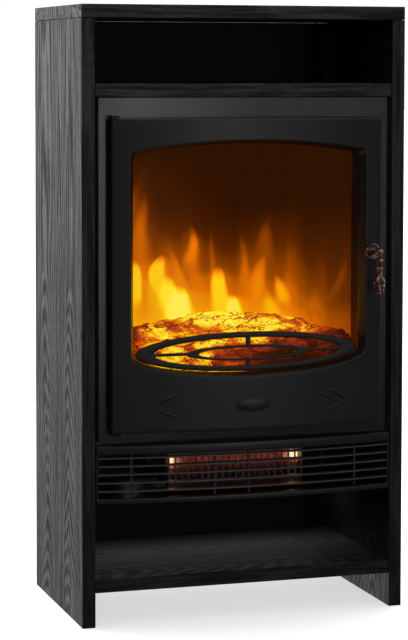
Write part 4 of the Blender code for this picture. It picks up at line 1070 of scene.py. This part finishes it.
def surroundings():
    """White behind the object and above it, paler towards the ground, and a dark room in front."""
    world = bpy.data.worlds.new("studio")
    bpy.context.scene.world = world
    world.use_nodes = True
    tree = world.node_tree
    background = tree.nodes["Background"]
    background.inputs["Color"].default_value = (1.0, 1.0, 1.0, 1.0)
    point = tree.nodes.new("ShaderNodeTexCoord")
    split = tree.nodes.new("ShaderNodeSeparateXYZ")
    tree.links.new(point.outputs["Generated"], split.inputs[0])

    def slope(axis, start, end, low, high):
        shade = tree.nodes.new("ShaderNodeMapRange")
        shade.interpolation_type = "SMOOTHSTEP"
        for key, value in (("From Min", start), ("From Max", end), ("To Min", low), ("To Max", high)):
            shade.inputs[key].default_value = value
        tree.links.new(split.outputs[axis], shade.inputs["Value"])
        return shade.outputs[0]

    def times(first, second):
        product = tree.nodes.new("ShaderNodeMath")
        product.operation = "MULTIPLY"
        tree.links.new(first, product.inputs[0])
        tree.links.new(second, product.inputs[1])
        return product.outputs[0]

    behind = slope("Y", -0.15, 0.35, 0.17, 1.0)
    ground = slope("Z", -0.14, 0.0, 0.5, 1.0)
    above = slope("Z", 0.25, 0.80, 1.08, 2.1)
    tree.links.new(times(times(behind, ground), above), background.inputs["Strength"])


def lamp(name, spot, aim, width, height, watts):
    light = bpy.data.lights.new(name, "AREA")
    light.shape = "RECTANGLE"
    light.size = width
    light.size_y = height
    light.energy = watts
    holder = bpy.data.objects.new(name, light)
    holder.location = spot
    direction = Vector(aim) - Vector(spot)
    holder.rotation_euler = direction.to_track_quat("-Z", "Y").to_euler()
    bpy.context.scene.collection.objects.link(holder)


def make_studio():
    """Pale floor, white surroundings, a soft lamp overhead and a tall one in front."""
    surroundings()
    mesh = bpy.data.meshes.new("floor")
    rim = [(40 * math.cos(a), 40 * math.sin(a), 0.0) for a in (2 * math.pi * i / 64 for i in range(64))]
    mesh.from_pydata(rim, [], [tuple(range(64))])
    floor = bpy.data.objects.new("floor", mesh)
    floor.visible_glossy = False
    floor.visible_diffuse = False
    bpy.context.scene.collection.objects.link(floor)
    paper = Graph("pale paper", roughness=0.9, specular_ior_level=0.1)
    fibre = paper.cloud(paper.place(), 40.0, 3.0)
    paper.set("Base Color", fibre.between((0.90, 0.90, 0.90), (0.93, 0.93, 0.93)))
    paper.set("Emission Color", (1.0, 1.0, 1.0))
    paper.set("Emission Strength", 0.62)
    mesh.materials.append(paper.material)
    lamp("overhead", (0.2, 1.2, 3.6), (0.0, 0.4, 0.0), 3.0, 3.0, 60)
    lamp("tall front", (0.66, FRONT - 2.95, 0.9), (0.0, FRONT, 0.7), 0.30, 1.7, 4.2)
    lamp("side front", (1.20, FRONT - 2.75, 0.9), (0.0, FRONT, 0.7), 0.16, 1.7, 1.1)


def make_camera():
    """Low view from the left, level with the niche."""
    lens = bpy.data.cameras.new("camera")
    lens.lens = 126.88
    lens.sensor_width = 36.0
    lens.shift_y = -0.18
    camera = bpy.data.objects.new("camera", lens)
    turn, tilt, roll = (math.radians(angle) for angle in (-17.349, 86.393, 0.1056))
    aim = Matrix.Rotation(turn, 4, "Z") @ Matrix.Rotation(tilt, 4, "X") @ Matrix.Rotation(roll, 4, "Z")
    camera.matrix_world = Matrix.Translation((-1.15413, -3.46377 + FRONT, 0.90732)) @ aim
    bpy.context.scene.collection.objects.link(camera)
    bpy.context.scene.camera = camera
    bpy.context.scene.view_settings.view_transform = "Standard"


make_door()
make_reliefs()
make_fret()
make_handle()
make_grille()
make_flames()
make_fuel()
dress_frame()
make_studio()
make_camera()
